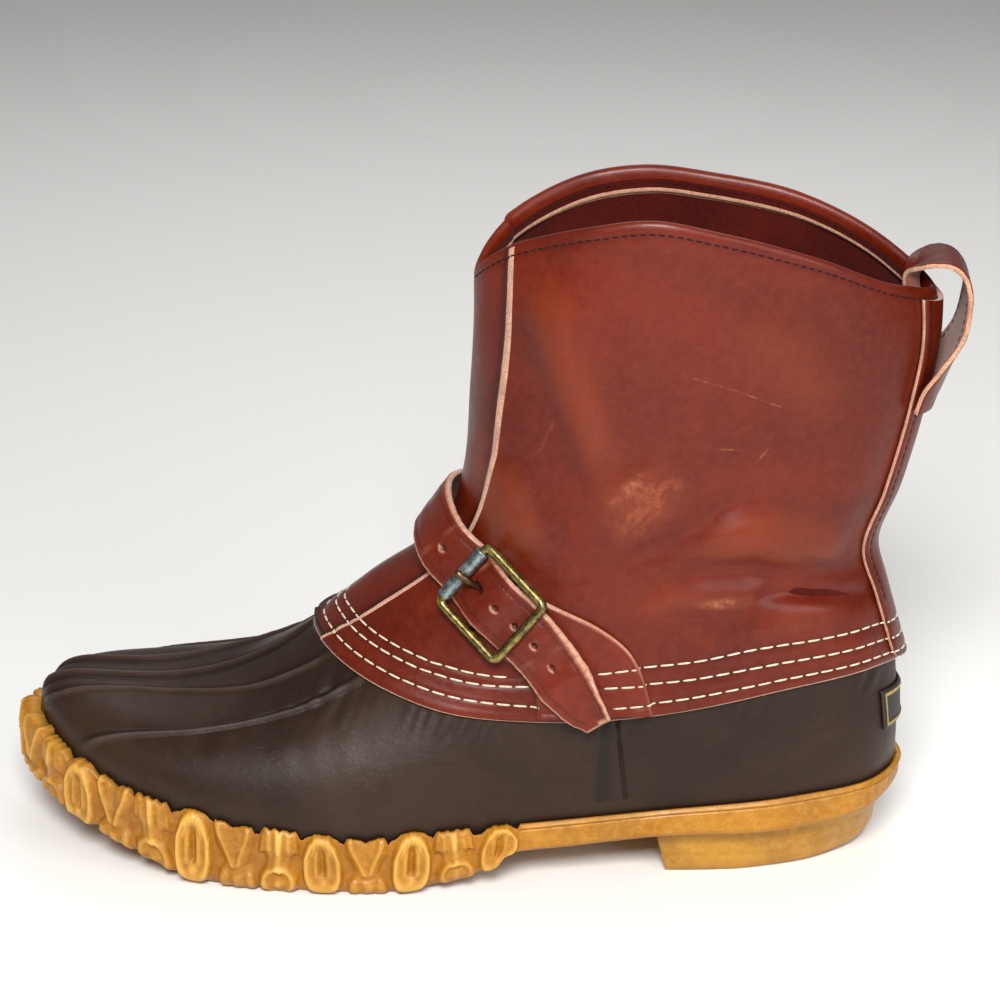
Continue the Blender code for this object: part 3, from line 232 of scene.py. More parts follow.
# Underside of the sole: x of FOOT_LENGTH, height of SHAFT_HEIGHT
UNDERSIDE = (
    (0.000, 0.113),
    (0.040, 0.098),
    (0.120, 0.087),
    (0.280, 0.074),
    (0.380, 0.063),
    (0.445, 0.056),
    (0.457, 0.036),
    (0.500, 0.018),
    (0.570, 0.000),
    (0.790, 0.000),
    (0.843, 0.024),
    (0.900, 0.050),
    (0.960, 0.074),
    (1.020, 0.098),
)

# Foot bed on top of the sole: x of FOOT_LENGTH, height of SHAFT_HEIGHT
FOOT_BED = (
    (0.000, 0.122),
    (0.120, 0.109),
    (0.280, 0.093),
    (0.440, 0.074),
    (0.560, 0.044),
    (0.680, 0.038),
    (0.790, 0.042),
    (0.900, 0.078),
    (0.980, 0.112),
)

# Heel block, a row for each station from the front edge to the back. Columns: x of FOOT_LENGTH,
# half width of HALF_WIDTH, at the floor and then at the top.
HEEL_BLOCK = (
    (0.267, 0.640, 0.280, 0.650),
    (0.227, 0.630, 0.227, 0.650),
    (0.180, 0.600, 0.180, 0.640),
    (0.143, 0.540, 0.137, 0.620),
    (0.107, 0.460, 0.090, 0.560),
    (0.080, 0.370, 0.053, 0.450),
    (0.047, 0.230, 0.027, 0.280),
    (0.025, 0.000, 0.014, 0.000),
)

RIDGES = (
    (0.18, 0.29, 0.26, 0.33, 0.49, 0.54),
    (0.80, 0.90, 0.99, 0.99, 0.97, 0.88),
)

RIDGE_LEVELS = (0.0, 0.20, 0.50, 0.65, 0.80, 1.0)

# Pull loop, rows from the sewn foot outside to the sewn end inside. Columns: height above the
# lowest point of the collar of LOOP_LENGTH, distance outside the leather of LOOP_STAND, and how far
# the row is straight across rather than round the leather.
LOOP_PATH = (
    (-1.000, 0.38, 0.0),
    (-0.825, 0.49, 0.0),
    (-0.625, 0.65, 0.4),
    (-0.400, 0.84, 0.9),
    (-0.175, 0.98, 1.0),
    (0.025, 1.00, 1.0),
    (0.155, 0.76, 1.0),
    (0.230, 0.34, 1.0),
    (0.240, -0.06, 1.0),
    (0.205, -0.42, 0.6),
    (0.115, -0.69, 0.0),
    (-0.050, -0.69, 0.0),
    (-0.250, -0.65, 0.0),
    (-0.450, -0.55, 0.0),
)

# Strap on the leather, rows from its sewn medial end to the instep and from the buckle to its loose
# end. Columns: x of FOOT_LENGTH, height of SHAFT_HEIGHT, slope of the strap's width in degrees below
# +X, width as a share of STRAP_WIDTH.
STRAP_MEDIAL = (
    (0.368, 0.276, 10, 1.65),
    (0.377, 0.306, 18, 1.35),
    (0.397, 0.350, 28, 1.10),
    (0.430, 0.400, 38, 1.00),
    (0.467, 0.450, 46, 1.00),
)

STRAP_TAIL = (
    (0.405, 0.370, 48, 0.98),
    (0.378, 0.325, 46, 0.96),
    (0.353, 0.288, 52, 0.80),
    (0.342, 0.272, 58, 0.50),
)

# Strap in the air over the instep. Columns: x of FOOT_LENGTH, y of HALF_WIDTH, height of
# SHAFT_HEIGHT, slope of the width in degrees.
STRAP_BRIDGE = (
    (0.512, -0.440, 0.508, 52),
    (0.532, -0.100, 0.522, 55),
    (0.530, 0.180, 0.512, 54),
    (0.514, 0.400, 0.490, 52),
)

# Strap inside the buckle: distance along it from the buckle's middle of half BUCKLE_LENGTH, and
# height of the strap's middle above the leather there of BUCKLE_HEIGHT
STRAP_IN_BUCKLE = (
    (-1.00, 0.22),
    (-0.67, 0.41),
    (-0.30, 0.79),
    (0.00, 0.95),
    (0.33, 0.79),
    (0.70, 0.44),
    (1.00, 0.35),
)

# Lateral anchor, rows from under the buckle to the leather's lower edge. Columns: x of FOOT_LENGTH
# and height of SHAFT_HEIGHT of its front edge, then of its back edge.
ANCHOR_ROWS = (
    (0.457, 0.362, 0.418, 0.446),
    (0.436, 0.345, 0.386, 0.430),
    (0.421, 0.330, 0.346, 0.407),
    (0.415, 0.318, 0.314, 0.376),
    (0.412, 0.304, 0.299, 0.345),
    (0.411, 0.288, 0.290, 0.310),
    (0.411, 0.272, 0.285, 0.280),
)

# Prong: distance along the strap from the buckle's middle of half BUCKLE_LENGTH, and height above
# the leather of BUCKLE_HEIGHT; then where its slot in the strap starts and ends
PRONG_PATH = (
    (-0.173, 0.41),
    (-0.300, 0.32),
    (-0.413, 0.41),
    (-0.507, 0.71),
    (-0.600, 1.05),
    (-0.767, 1.49),
    (-0.987, 1.60),
)


def unit(v):
    return v / np.maximum(np.linalg.norm(v, axis=-1, keepdims=True), 1e-12)


def curve_at(points, t, closed):
    """Smooth curve through points at t, counted in points, with chord-weighted tangents."""
    points = np.asarray(points, float)
    n = len(points)
    t = np.asarray(t, float)
    i = np.floor(t).astype(int)
    if not closed:
        i = np.clip(i, 0, n - 2)
    f = (t - i)[:, None]

    def pick(k):
        return points[k % n] if closed else points[np.clip(k, 0, n - 1)]

    p0, p1, p2, p3 = pick(i - 1), pick(i), pick(i + 1), pick(i + 2)
    h0 = np.maximum(np.linalg.norm(p1 - p0, axis=1, keepdims=True), 1e-9)
    h1 = np.maximum(np.linalg.norm(p2 - p1, axis=1, keepdims=True), 1e-9)
    h2 = np.maximum(np.linalg.norm(p3 - p2, axis=1, keepdims=True), 1e-9)
    d0, d1, d2 = (p1 - p0) / h0, (p2 - p1) / h1, (p3 - p2) / h2
    m1 = (d0 * h1 + d1 * h0) / (h0 + h1)
    m2 = (d1 * h2 + d2 * h1) / (h1 + h2)
    if not closed:
        m1 = np.where(i[:, None] == 0, 1.5 * d1 - 0.5 * m2, m1)
        m2 = np.where(i[:, None] == n - 2, 1.5 * d1 - 0.5 * m1, m2)
    m1, m2 = m1 * h1, m2 * h1
    a = 2 * f**3 - 3 * f**2 + 1
    b = f**3 - 2 * f**2 + f
    c = -2 * f**3 + 3 * f**2
    d = f**3 - f**2
    return a * p1 + b * m1 + c * p2 + d * m2


def ring_points(rows):
    """Control points of a ring, 18 in all, from its ten rows."""
    scale = np.array([FOOT_LENGTH, HALF_WIDTH, SHAFT_HEIGHT] * 2)
    rows = np.asarray(rows, float) * scale
    return np.concatenate([rows[:, :3], rows[-2:0:-1, 3:]])


def per_station(rows):
    """A table of one row per station carried round the ring on both sides."""
    rows = np.asarray(rows, float)
    return np.concatenate([rows, rows[-2:0:-1]])


def ring_at(rows, t):
    return curve_at(ring_points(rows), t, True)


def smooth_at(rows, t):
    return curve_at(per_station(rows), t, True)


def dense_ring(rows, count=720):
    t = np.arange(count + 1) * STATIONS / count
    return t, arc_length(ring_at(rows, t))


def t_from_front(rows, distance):
    """Ring parameter at signed distances along the ring from the toe, plus to the lateral side."""
    t, along = dense_ring(rows)
    distance = np.asarray(distance, float)
    return np.where(
        distance >= 0,
        np.interp(distance, along, t),
        np.interp(along[-1] + distance, along, t),
    )


def t_from_back(rows, distance):
    """Ring parameter at signed distances along the ring from the heel, plus to the lateral side."""
    t, along = dense_ring(rows)
    middle = np.interp(STATIONS / 2, t, along)
    return np.interp(middle - np.asarray(distance, float), along, t)


def grid_normals(grid):
    """Outward normals of a grid of rows by columns, closed round the columns."""
    across = np.roll(grid, -1, axis=1) - np.roll(grid, 1, axis=1)
    up = np.gradient(grid, axis=0)
    return unit(np.cross(across, up))


def plan_normals(ring):
    """Outward normals of a ring seen from above."""
    along = np.roll(ring, -1, axis=0) - np.roll(ring, 1, axis=0)
    return unit(np.stack([along[:, 1], -along[:, 0], np.zeros(len(ring))], 1))


def leather_columns(rows, front, back, shares):
    """Column parameters of one ring, counter-clockwise from the toe centre; front and back are
    distances on the lateral side, repeated on the medial side."""
    front = np.asarray(front, float)
    back = np.asarray(back, float)
    t_f = t_from_front(rows, front)
    t_b = t_from_back(rows, back)
    lateral = t_f[-1] + (t_b[0] - t_f[-1]) * np.asarray(shares)
    m_f = t_from_front(rows, -front[::-1])
    m_b = t_from_back(rows, -back[::-1])
    medial = m_b[-1] + (m_f[0] - m_b[-1]) * np.asarray(shares)
    parts = [[0.0], t_f, lateral, t_b, [STATIONS / 2], m_b, medial, m_f]
    return np.concatenate(parts)



def rubber_smooth(t, v):
    """Smooth outside of the rubber at ring parameters t and height share v, without ridges."""
    p0 = ring_at(FEATHER, t)
    p3 = ring_at(LAP_EDGE, t)
    rise, swell, drop, reach = smooth_at(RUBBER_HANDLES, t).T
    n0 = plan_normals_at(FEATHER, t)
    up = np.array([0.0, 0.0, 1.0])
    p1 = p0 + (up * rise[:, None] + n0 * swell[:, None]) * HALF_WIDTH
    p2 = p3 + (p0 - p3) * (1.0, 1.0, 0.0) * reach[:, None] - up * drop[:, None] * HALF_WIDTH
    return (
        (1 - v) ** 3 * p0
        + 3 * (1 - v) ** 2 * v * p1
        + 3 * (1 - v) * v**2 * p2
        + v**3 * p3
    )


def plan_normals_at(rows, t):
    ahead = ring_at(rows, np.mod(t + 0.02, STATIONS))
    behind = ring_at(rows, np.mod(t - 0.02, STATIONS))
    along = ahead - behind
    return unit(np.stack([along[:, 1], -along[:, 0], np.zeros(len(along))], 1))


def height_at(rows, x):
    """Smooth height from a table at x, flat where two rows are level."""
    rows = np.array(rows) * (FOOT_LENGTH, SHAFT_HEIGHT)
    step = np.diff(rows[:, 0])
    slope = np.diff(rows[:, 1]) / step
    before, after = slope[:-1], slope[1:]
    same = before * after > 0
    mean = 2 * before * after / np.where(same, before + after, 1.0)
    tangent = np.concatenate([[slope[0]], np.where(same, mean, 0.0), [slope[-1]]])
    x = np.clip(x, rows[0, 0], rows[-1, 0])
    i = np.clip(np.searchsorted(rows[:, 0], x, side="right") - 1, 0, len(step) - 1)
    f = (x - rows[i, 0]) / step[i]
    a = (1 + 2 * f) * (1 - f) ** 2
    b = f * (1 - f) ** 2 * step[i]
    c = f**2 * (3 - 2 * f)
    d = f**2 * (f - 1) * step[i]
    return a * rows[i, 1] + b * tangent[i] + c * rows[i + 1, 1] + d * tangent[i + 1]


def bed_height(x):
    return height_at(FOOT_BED, x)


def underside_height(x):
    return height_at(UNDERSIDE, x)


def on_side(tree, x, z, side):
    """Point and outward normal of the leather at x, z on the lateral (+1) or medial (-1) side."""
    start = Vector((x, 4 * HALF_WIDTH * side, z))
    point, normal, _, _ = tree.ray_cast(start, Vector((0.0, -side, 0.0)))
    if point is None or point[1] * side < 0:
        return None
    normal = np.array(normal)
    return np.array(point), normal * (1.0 if normal[1] * side > 0 else -1.0)


def smooth_on_side(tree, x, z, side):
    """The same with the normal averaged over a few millimetres."""
    reach = 2 * LEATHER_WALL
    point, _ = on_side(tree, x, z, side)
    total = np.zeros(3)
    for dx, dz in ((-1, 0), (1, 0), (0, -1), (0, 1)):
        found = on_side(tree, x + dx * reach, z + dz * reach, side)
        if found:
            total += found[1]
    return point, unit(total)


def buckle_frame_axes(tree):
    """Point on the leather under the buckle's middle, and its along, across and out directions."""
    x, z = BUCKLE_PLACE[0] * FOOT_LENGTH, BUCKLE_PLACE[1] * SHAFT_HEIGHT
    point, _ = on_side(tree, x, z, 1)
    out = unit(np.array(BUCKLE_OUT))
    along = np.array(BUCKLE_ALONG)
    along = unit(along - out * np.dot(along, out))
    return point, along, np.cross(along, out), out


def strap_rows(tree):
    """Control rows of the strap: middle, width direction and width share."""
    rows = []

    def slope(degrees):
        angle = math.radians(degrees)
        return np.array([math.cos(angle), 0.0, -math.sin(angle)])

    lift = PATCH_GAP + STRAP_THICKNESS / 2
    for x, z, degrees, share in STRAP_MEDIAL:
        point, normal = smooth_on_side(tree, x * FOOT_LENGTH, z * SHAFT_HEIGHT, -1)
        rows.append((point + normal * lift, slope(degrees), share))
    for x, y, z, degrees in STRAP_BRIDGE:
        point = np.array([x * FOOT_LENGTH, y * HALF_WIDTH, z * SHAFT_HEIGHT])
        rows.append((point, slope(degrees), 1.0))
    base, along, across, out = buckle_frame_axes(tree)
    for distance, height in STRAP_IN_BUCKLE:
        place = base + along * distance * BUCKLE_LENGTH / 2 + out * height * BUCKLE_HEIGHT
        rows.append((place, across, 1.0))
    lift = 2 * PATCH_GAP + ANCHOR_THICKNESS + STRAP_THICKNESS / 2
    for x, z, degrees, share in STRAP_TAIL:
        point, normal = smooth_on_side(tree, x * FOOT_LENGTH, z * SHAFT_HEIGHT, 1)
        rows.append((point + normal * lift, slope(degrees), share))
    return rows


def rod(path, radius, sides, closed, side_axis):
    """Rings of a round bar along a path."""
    path = np.asarray(path, float)
    if closed:
        along = unit(np.roll(path, -1, axis=0) - np.roll(path, 1, axis=0))
    else:
        along = unit(np.gradient(path, axis=0))
    first = unit(np.cross(along, np.broadcast_to(side_axis, path.shape)))
    second = np.cross(along, first)
    radius = np.broadcast_to(np.asarray(radius, float), (len(path),))
    angle = np.arange(sides) * 2 * math.pi / sides
    rings = []
    for k in range(len(path)):
        ring = path[k] + radius[k] * (
            np.cos(angle)[:, None] * first[k] + np.sin(angle)[:, None] * second[k]
        )
        rings.append(ring)
    return np.array(rings)


# Frame: the solids' own frame is the heel's frame moved by SHIFT

HEEL_LOW, HEEL_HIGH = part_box("heel")
SHIFT = np.array([
    HEEL_HIGH.x - HEEL_BLOCK[0][2] * FOOT_LENGTH,
    HEEL_HIGH.y - HEEL_BLOCK[0][3] * HALF_WIDTH,
    0.0,
])
MM = 0.001


def arc_length(points):
    """Distance of each point of a line from its start."""
    steps = np.linalg.norm(np.diff(points, axis=0), axis=1)
    return np.concatenate([[0], np.cumsum(steps)])


def along_line(s, along, values):
    """Values of a line at distances s along it."""
    return np.array([np.interp(s, along, values[:, k]) for k in range(values.shape[1])]).T


def smoothstep(x, low, high):
    f = np.clip((np.asarray(x, float) - low) / (high - low), 0.0, 1.0)
    return f * f * (3 - 2 * f)


def bell(x, width):
    return np.exp(-((np.asarray(x, float) / width) ** 2))


def wobble(s, seed, pitch):
    """Smooth noise between -1 and 1 along s, with one swing in about pitch."""
    s = np.asarray(s, float) / pitch
    total = np.zeros_like(s)
    for k, (rate, share) in enumerate(((1.0, 0.5), (2.3, 0.3), (4.7, 0.2))):
        total += share * np.sin(2 * math.pi * (s * rate) + seed * (1.7 + k) + np.sin(s * rate * 2.1 + k))
    return total


# Materials


class Look:
    """A Principled material with short calls for its nodes."""

    def __init__(self, name, colour, roughness, **sockets):
        self.material = bpy.data.materials.new(name)
        self.material.use_nodes = True
        self.nodes = self.material.node_tree.nodes
        self.shader = self.nodes["Principled BSDF"]
        self.put(colour, self.shader.inputs["Base Color"])
        self.put(roughness, self.shader.inputs["Roughness"])
        for label, value in sockets.items():
            self.put(value, self.shader.inputs[label.replace("_", " ")])
        self.place = self.nodes.new("ShaderNodeTexCoord").outputs["Object"]
        self.normal = None

    def put(self, value, socket):
        """Link another node's output, or set a number, a vector or a screen colour."""
        if isinstance(value, bpy.types.NodeSocket):
            self.material.node_tree.links.new(value, socket)
        elif isinstance(value, str):
            socket.default_value = (*shade(value), 1.0)
        else:
            socket.default_value = value

    def node(self, kind, inputs, output, **settings):
        """Output of a new node with these settings and inputs."""
        made = self.nodes.new("ShaderNode" + kind)
        for label, value in settings.items():
            setattr(made, label, value)
        for label, value in inputs.items():
            self.put(value, made.inputs[label])
        return made.outputs[output]

    def noise(self, scale, detail, roughness, distortion=0.0, stretch=None):
        place = self.place
        if stretch is not None:
            place = self.node("Mapping", {"Vector": place, "Scale": stretch}, "Vector")
        inputs = {"Vector": place, "Scale": scale, "Detail": detail, "Roughness": roughness}
        return self.node("TexNoise", {**inputs, "Distortion": distortion}, "Fac")

    def cell_edges(self, scale):
        inputs = {"Vector": self.place, "Scale": scale}
        return self.node("TexVoronoi", inputs, "Distance", feature="DISTANCE_TO_EDGE")

    def fit(self, value, low, high, out_low=0.0, out_high=1.0):
        """The value from low to high carried smoothly to between out_low and out_high."""
        ends = {"From Min": low, "From Max": high, "To Min": out_low, "To Max": out_high}
        return self.node("MapRange", {"Value": value, **ends}, "Result", interpolation_type="SMOOTHSTEP")

    def times(self, a, b):
        return self.node("Math", {0: a, 1: b}, "Value", operation="MULTIPLY")

    def mix(self, share, a, b):
        return self.node("Mix", {0: share, 6: a, 7: b}, 2, data_type="RGBA")

    def tint(self, colour, cover, share, over):
        """The colour with a share of another over it where cover is 1."""
        return self.mix(self.times(cover, share), colour, over)

    def mask(self, name):
        return self.node("Attribute", {}, "Fac", attribute_name=name)

    def spot(self, centre, size, turn=0.0):
        """1 at a place in the heel's frame, in millimetres, fading to 0 at size from it."""
        inputs = {
            "Vector": self.place,
            "Location": tuple(np.array(centre) * MM + SHIFT),
            "Rotation": (0.0, math.radians(turn), 0.0),
            "Scale": tuple(np.array(size) * MM),
        }
        from_centre = self.node("Mapping", inputs, "Vector", vector_type="TEXTURE")
        return self.fit(self.node("VectorMath", {0: from_centre}, "Value", operation="LENGTH"), 1.0, 0.25)

    def colour(self, value):
        self.put(value, self.shader.inputs["Base Color"])

    def rough(self, value):
        self.put(value, self.shader.inputs["Roughness"])

    def bump(self, height, strength, distance):
        """Add a relief to those put on before."""
        inputs = {"Strength": strength, "Distance": distance, "Height": height}
        if self.normal is not None:
            inputs["Normal"] = self.normal
        self.normal = self.node("Bump", inputs, "Normal")
        self.put(self.normal, self.shader.inputs["Normal"])


def shade(hex_colour):
    """Linear colour of a screen colour."""
    out = []
    for k in (0, 2, 4):
        c = int(hex_colour[k:k + 2], 16) / 255
        out.append(c / 12.92 if c <= 0.04045 else ((c + 0.055) / 1.055) ** 2.4)
    return tuple(out)


def leather_look(name, base, dark, light, marks=()):
    """Oiled leather: mottled colour, fine grain, worn patches where marks lie, painted shade in seams and
    grooves, and a painted highlight on raised folds.
    """
    look = Look(name, base, 0.40, Specular_IOR_Level=0.20, Coat_Weight=0.17, Coat_Roughness=0.20)
    broad = look.fit(look.noise(16, 3, 0.5, 0.6), 0.30, 0.70)
    fine = look.fit(look.noise(330, 6, 0.7), 0.35, 0.68)
    colour = look.mix(broad, dark, base)
    colour = look.tint(colour, fine, 0.12, light)
    streaks = look.fit(look.noise(90, 6, 0.75, 1.2, (1.0, 1.0, 2.6)), 0.50, 0.78)
    for centre, size, turn, share, tint in marks:
        worn = look.spot(centre, size, turn)
        worn = look.times(worn, look.fit(look.noise(420, 7, 0.8), 0.38, 0.62, 0.25, 1.0))
        worn = look.times(worn, look.fit(look.noise(85, 5, 0.7, 1.0), 0.40, 0.60, 0.15, 1.0))
        colour = look.tint(colour, worn, share, tint)
    colour = look.tint(colour, streaks, 0.10, light)
    # Painted shade: darker in seams, grooves and beside the front strip's step
    colour = look.tint(colour, look.mask("recess_shade"), 0.75, "240804")
    # Painted highlight: lighter on raised folds and ridges
    colour = look.tint(colour, look.mask("raised"), 0.25, light)
    fibre = look.fit(look.noise(900, 6, 0.8), 0.32, 0.60, 0.45, 1.0)
    look.colour(look.tint(colour, look.mask("pale"), fibre, "d0997a"))
    look.rough(look.fit(look.noise(60, 5, 0.7), 0.3, 0.7, 0.30, 0.44))
    look.bump(look.fit(look.cell_edges(1500), 0.0, 0.12), 0.16, 0.00018)
    look.bump(look.noise(520, 6, 0.75), 0.22, 0.0004)
    look.bump(look.noise(75, 5, 0.6, 0.8), 0.25, 0.0012)
    return look.material


def raw_edge_look(name, base="d9a888", dark="a8704f"):
    look = Look(name, base, 0.92, Sheen_Weight=0.3)
    fibre = look.fit(look.noise(1400, 6, 0.8), 0.34, 0.66)
    soil = look.fit(look.noise(160, 5, 0.7), 0.42, 0.72)
    colour = look.mix(fibre, dark, base)
    look.colour(look.tint(colour, soil, 0.5, "8a4a33"))
    look.bump(look.noise(1900, 6, 0.8), 0.8, 0.0004)
    return look.material


def suede_look():
    look = Look("dark suede lining", "3c0804", 0.95, Specular_IOR_Level=0.1,
                Sheen_Weight=0.06, Sheen_Roughness=0.5)
    nap = look.fit(look.noise(800, 7, 0.8), 0.3, 0.7)
    broad = look.fit(look.noise(30, 4, 0.6), 0.35, 0.7)
    colour = look.mix(nap, "2c0503", "480d06")
    look.colour(look.tint(colour, broad, 0.5, "551409"))
    look.bump(look.noise(1300, 7, 0.8), 0.6, 0.0005)
    return look.material


def thread_look(name, base, dark, sheen=0.2):
    look = Look(name, base, 0.8, Specular_IOR_Level=0.2, Sheen_Weight=sheen)
    twist = look.fit(look.noise(1500, 4, 0.7), 0.35, 0.7)
    look.colour(look.mix(twist, dark, base))
    look.bump(look.noise(2600, 4, 0.7), 0.6, 0.0003)
    return look.material


def rubber_look():
    look = Look("dark brown rubber", "2c1b11", 0.38, Specular_IOR_Level=0.25)
    broad = look.fit(look.noise(14, 5, 0.6, 0.4), 0.35, 0.7)
    dust = look.fit(look.noise(340, 8, 0.85), 0.52, 0.75)
    colour = look.mix(broad, "22140c", "322116")
    colour = look.tint(colour, dust, 0.22, "57453a")
    scuffs = look.fit(look.noise(120, 6, 0.8, 2.0, (1.0, 1.0, 3.0)), 0.62, 0.80)
    colour = look.tint(colour, scuffs, 0.18, "857464")
    # Painted shade in grooves, upright lines and puckers
    colour = look.tint(colour, look.mask("recess_shade"), 0.7, "120c09")
    # Painted highlight on the ridges
    colour = look.tint(colour, look.mask("raised"), 0.35, "5f5148")
    look.colour(colour)
    look.rough(look.fit(look.noise(45, 6, 0.7), 0.3, 0.7, 0.34, 0.50))
    look.bump(look.noise(700, 7, 0.8), 0.22, 0.0003)
    look.bump(look.noise(230, 5, 0.7, 1.0, (1.0, 1.0, 2.4)), 0.22, 0.0006)
    look.bump(look.noise(60, 4, 0.6), 0.10, 0.0010)
    return look.material


def amber_look(name, base, dark, light, wear):
    look = Look(name, base, 0.36, Specular_IOR_Level=0.36, Subsurface_Weight=0.12,
                Subsurface_Scale=0.004)
    look.shader.inputs["Subsurface Radius"].default_value = (1.0, 0.5, 0.15)
    broad = look.fit(look.noise(38, 5, 0.6, 0.5), 0.35, 0.68)
    fine = look.fit(look.noise(300, 7, 0.8), 0.36, 0.72)
    colour = look.mix(broad, dark, base)
    colour = look.tint(colour, fine, wear, light)
    # Painted shade in the gaps and grooves
    colour = look.tint(colour, look.mask("recess_shade"), 0.42, "8a4c08")
    # Painted highlight on the lug tops
    colour = look.tint(colour, look.mask("raised"), 0.80, light)
    soil = look.times(look.mask("low"), look.fit(look.noise(150, 6, 0.8), 0.40, 0.66))
    look.colour(look.tint(colour, soil, 0.55, "6b4a30"))
    look.rough(look.fit(look.noise(90, 5, 0.7), 0.3, 0.7, 0.30, 0.52))
    look.bump(look.noise(900, 6, 0.8), 0.12, 0.0003)
    look.bump(look.noise(160, 5, 0.7, 0.6), 0.22, 0.0008)
    return look.material


def metal_look(name, base, dark, light, roughness):
    look = Look(name, base, roughness, Metallic=1.0)
    broad = look.fit(look.noise(260, 5, 0.7, 1.0), 0.38, 0.64)
    fine = look.fit(look.noise(1300, 5, 0.8), 0.4, 0.7)
    colour = look.mix(broad, dark, base)
    look.colour(look.tint(colour, fine, 0.2, light))
    look.rough(look.fit(look.noise(420, 5, 0.8), 0.3, 0.7, roughness - 0.1, roughness + 0.22))
    look.bump(look.noise(900, 5, 0.8), 0.12, 0.0002)
    return look.material


def felt_look():
    look = Look("brown insole felt", "4b382a", 0.95, Sheen_Weight=0.3)
    fibre = look.fit(look.noise(900, 7, 0.85), 0.3, 0.7)
    look.colour(look.mix(fibre, "33261c", "5e4938"))
    look.bump(look.noise(1100, 7, 0.85), 0.7, 0.0005)
    return look.material


def patch_look(name, base, dark):
    look = Look(name, base, 0.55)
    fine = look.fit(look.noise(600, 6, 0.8), 0.35, 0.7)
    look.colour(look.mix(fine, dark, base))
    look.bump(look.noise(900, 6, 0.8), 0.3, 0.0003)
    return look.material


# Meshes


def grid_faces(rows, columns, wrap=False, close=False, first=0):
    r = np.arange(rows if close else rows - 1)
    c = np.arange(columns if wrap else columns - 1)
    r, c = np.meshgrid(r, c, indexing="ij")
    r2, c2 = (r + 1) % rows, (c + 1) % columns
    quads = np.stack([r * columns + c, r * columns + c2, r2 * columns + c2, r2 * columns + c], -1)
    return quads.reshape(-1, 4) + first


def placed(name, data):
    """New object of the scene."""
    made = bpy.data.objects.new(name, data)
    bpy.context.scene.collection.objects.link(made)
    return made


def piece(name, points, faces, looks, nodes, marks=None, which=None):
    """One mesh of the boot in place of solids, riding on the root body."""
    mesh = bpy.data.meshes.new(name)
    points = np.asarray(points, float) + SHIFT
    mesh.from_pydata(points.tolist(), [], [tuple(f) for f in faces])
    for look in looks:
        mesh.materials.append(look)
    if which is not None:
        mesh.polygons.foreach_set("material_index", np.asarray(which, np.int32))
    for label, values in (marks or {}).items():
        layer = mesh.attributes.new(label, "FLOAT", "POINT")
        layer.data.foreach_set("value", np.asarray(values, np.float32).reshape(-1))
    mesh.validate()
    work = bmesh.new()
    work.from_mesh(mesh)
    bmesh.ops.remove_doubles(work, verts=work.verts, dist=1e-7)
    bmesh.ops.recalc_face_normals(work, faces=work.faces)
    work.to_mesh(mesh)
    work.free()
    mesh.polygons.foreach_set("use_smooth", [True] * len(mesh.polygons))
    made = placed(name, mesh)
    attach(made, "root")
    if nodes:
        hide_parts(*nodes)
    return made


def tree_of(points, faces):
    return BVHTree.FromPolygons([tuple(p) for p in points], [tuple(map(int, f)) for f in faces])


def tree_of_grid(grid):
    return tree_of(grid.reshape(-1, 3), grid_faces(*grid.shape[:2]))


def cap_faces(first, columns, flip=False):
    """Faces across a ring of points that starts at number first, from side to side."""
    faces = []
    for k in range(columns // 2):
        a, b = first + k, first + k + 1
        c, d = first + (columns - k - 1) % columns, first + (columns - k) % columns
        face = (a, b, c) if k == 0 else (a, b, c, d)
        faces.append(face[::-1] if flip else face)
    return faces


# A stitch from end to end: place as a share of its length, thickness as a share of its radius
STITCH_SECTION = ((-0.5, 0.35), (-0.42, 0.85), (-0.2, 1.0), (0.2, 1.0), (0.42, 0.85), (0.5, 0.35))
STITCH_SIDES = 8
# Share of its radius that a stitch lies over the leather, and its flatness
STITCH_LIFT = 0.25
STITCH_FLAT = 0.85


def stitches(name, runs, look, length, gap, radius):
    """Threads along runs of (points, normals): each a short round bar, its ends down in the leather."""
    points, faces = [], []
    last = len(STITCH_SECTION) - 1
    bar = [tuple(f) for f in grid_faces(last + 1, STITCH_SIDES, wrap=True)]
    bar += [tuple(range(STITCH_SIDES)), tuple(last * STITCH_SIDES + a for a in range(STITCH_SIDES))]
    for path, normals in runs:
        along = arc_length(path)
        for k in range(int(along[-1] // (length + gap))):
            middle = (k + 0.5) * (length + gap)
            faces += [tuple(len(points) + number for number in face) for face in bar]
            for share, wide in STITCH_SECTION:
                s = np.clip(middle + share * length, 0, along[-1])
                place = along_line(s, along, path)
                out = unit(along_line(s, along, normals))
                forward = along_line(min(s + radius, along[-1]), along, path) - place
                if np.linalg.norm(forward) < 1e-9:
                    forward = path[-1] - path[-2]
                side = unit(np.cross(forward, out))
                centre = place - out * radius * (1.1 * (2 * abs(share)) ** 4 - STITCH_LIFT)
                for a in range(STITCH_SIDES):
                    turn = 2 * math.pi * a / STITCH_SIDES
                    round_it = side * math.cos(turn) + out * math.sin(turn) * STITCH_FLAT
                    points.append(centre + radius * wide * round_it)
    return piece(name, points, faces, [look], ())


# Leather

LEATHER_RINGS = (LAP_EDGE, INSTEP, THROAT, ANKLE, MID_SHAFT, UPPER_SHAFT, COLLAR)
STEP_FROM, STEP_TO, RAW_TO = 0.0139, 0.0152, 0.0162
FRONT_END = 0.0412
FRONT = np.concatenate([
    np.linspace(0.0012, 0.0132, 11),
    [STEP_FROM, 0.0143, 0.0147, STEP_TO, 0.0157, RAW_TO],
    np.linspace(0.0168, FRONT_END, 18),
])
SIDE = (np.arange(96) + 1) / 97
BACK = np.linspace(STAY_HALF_WIDTH, 0.0015, 8)
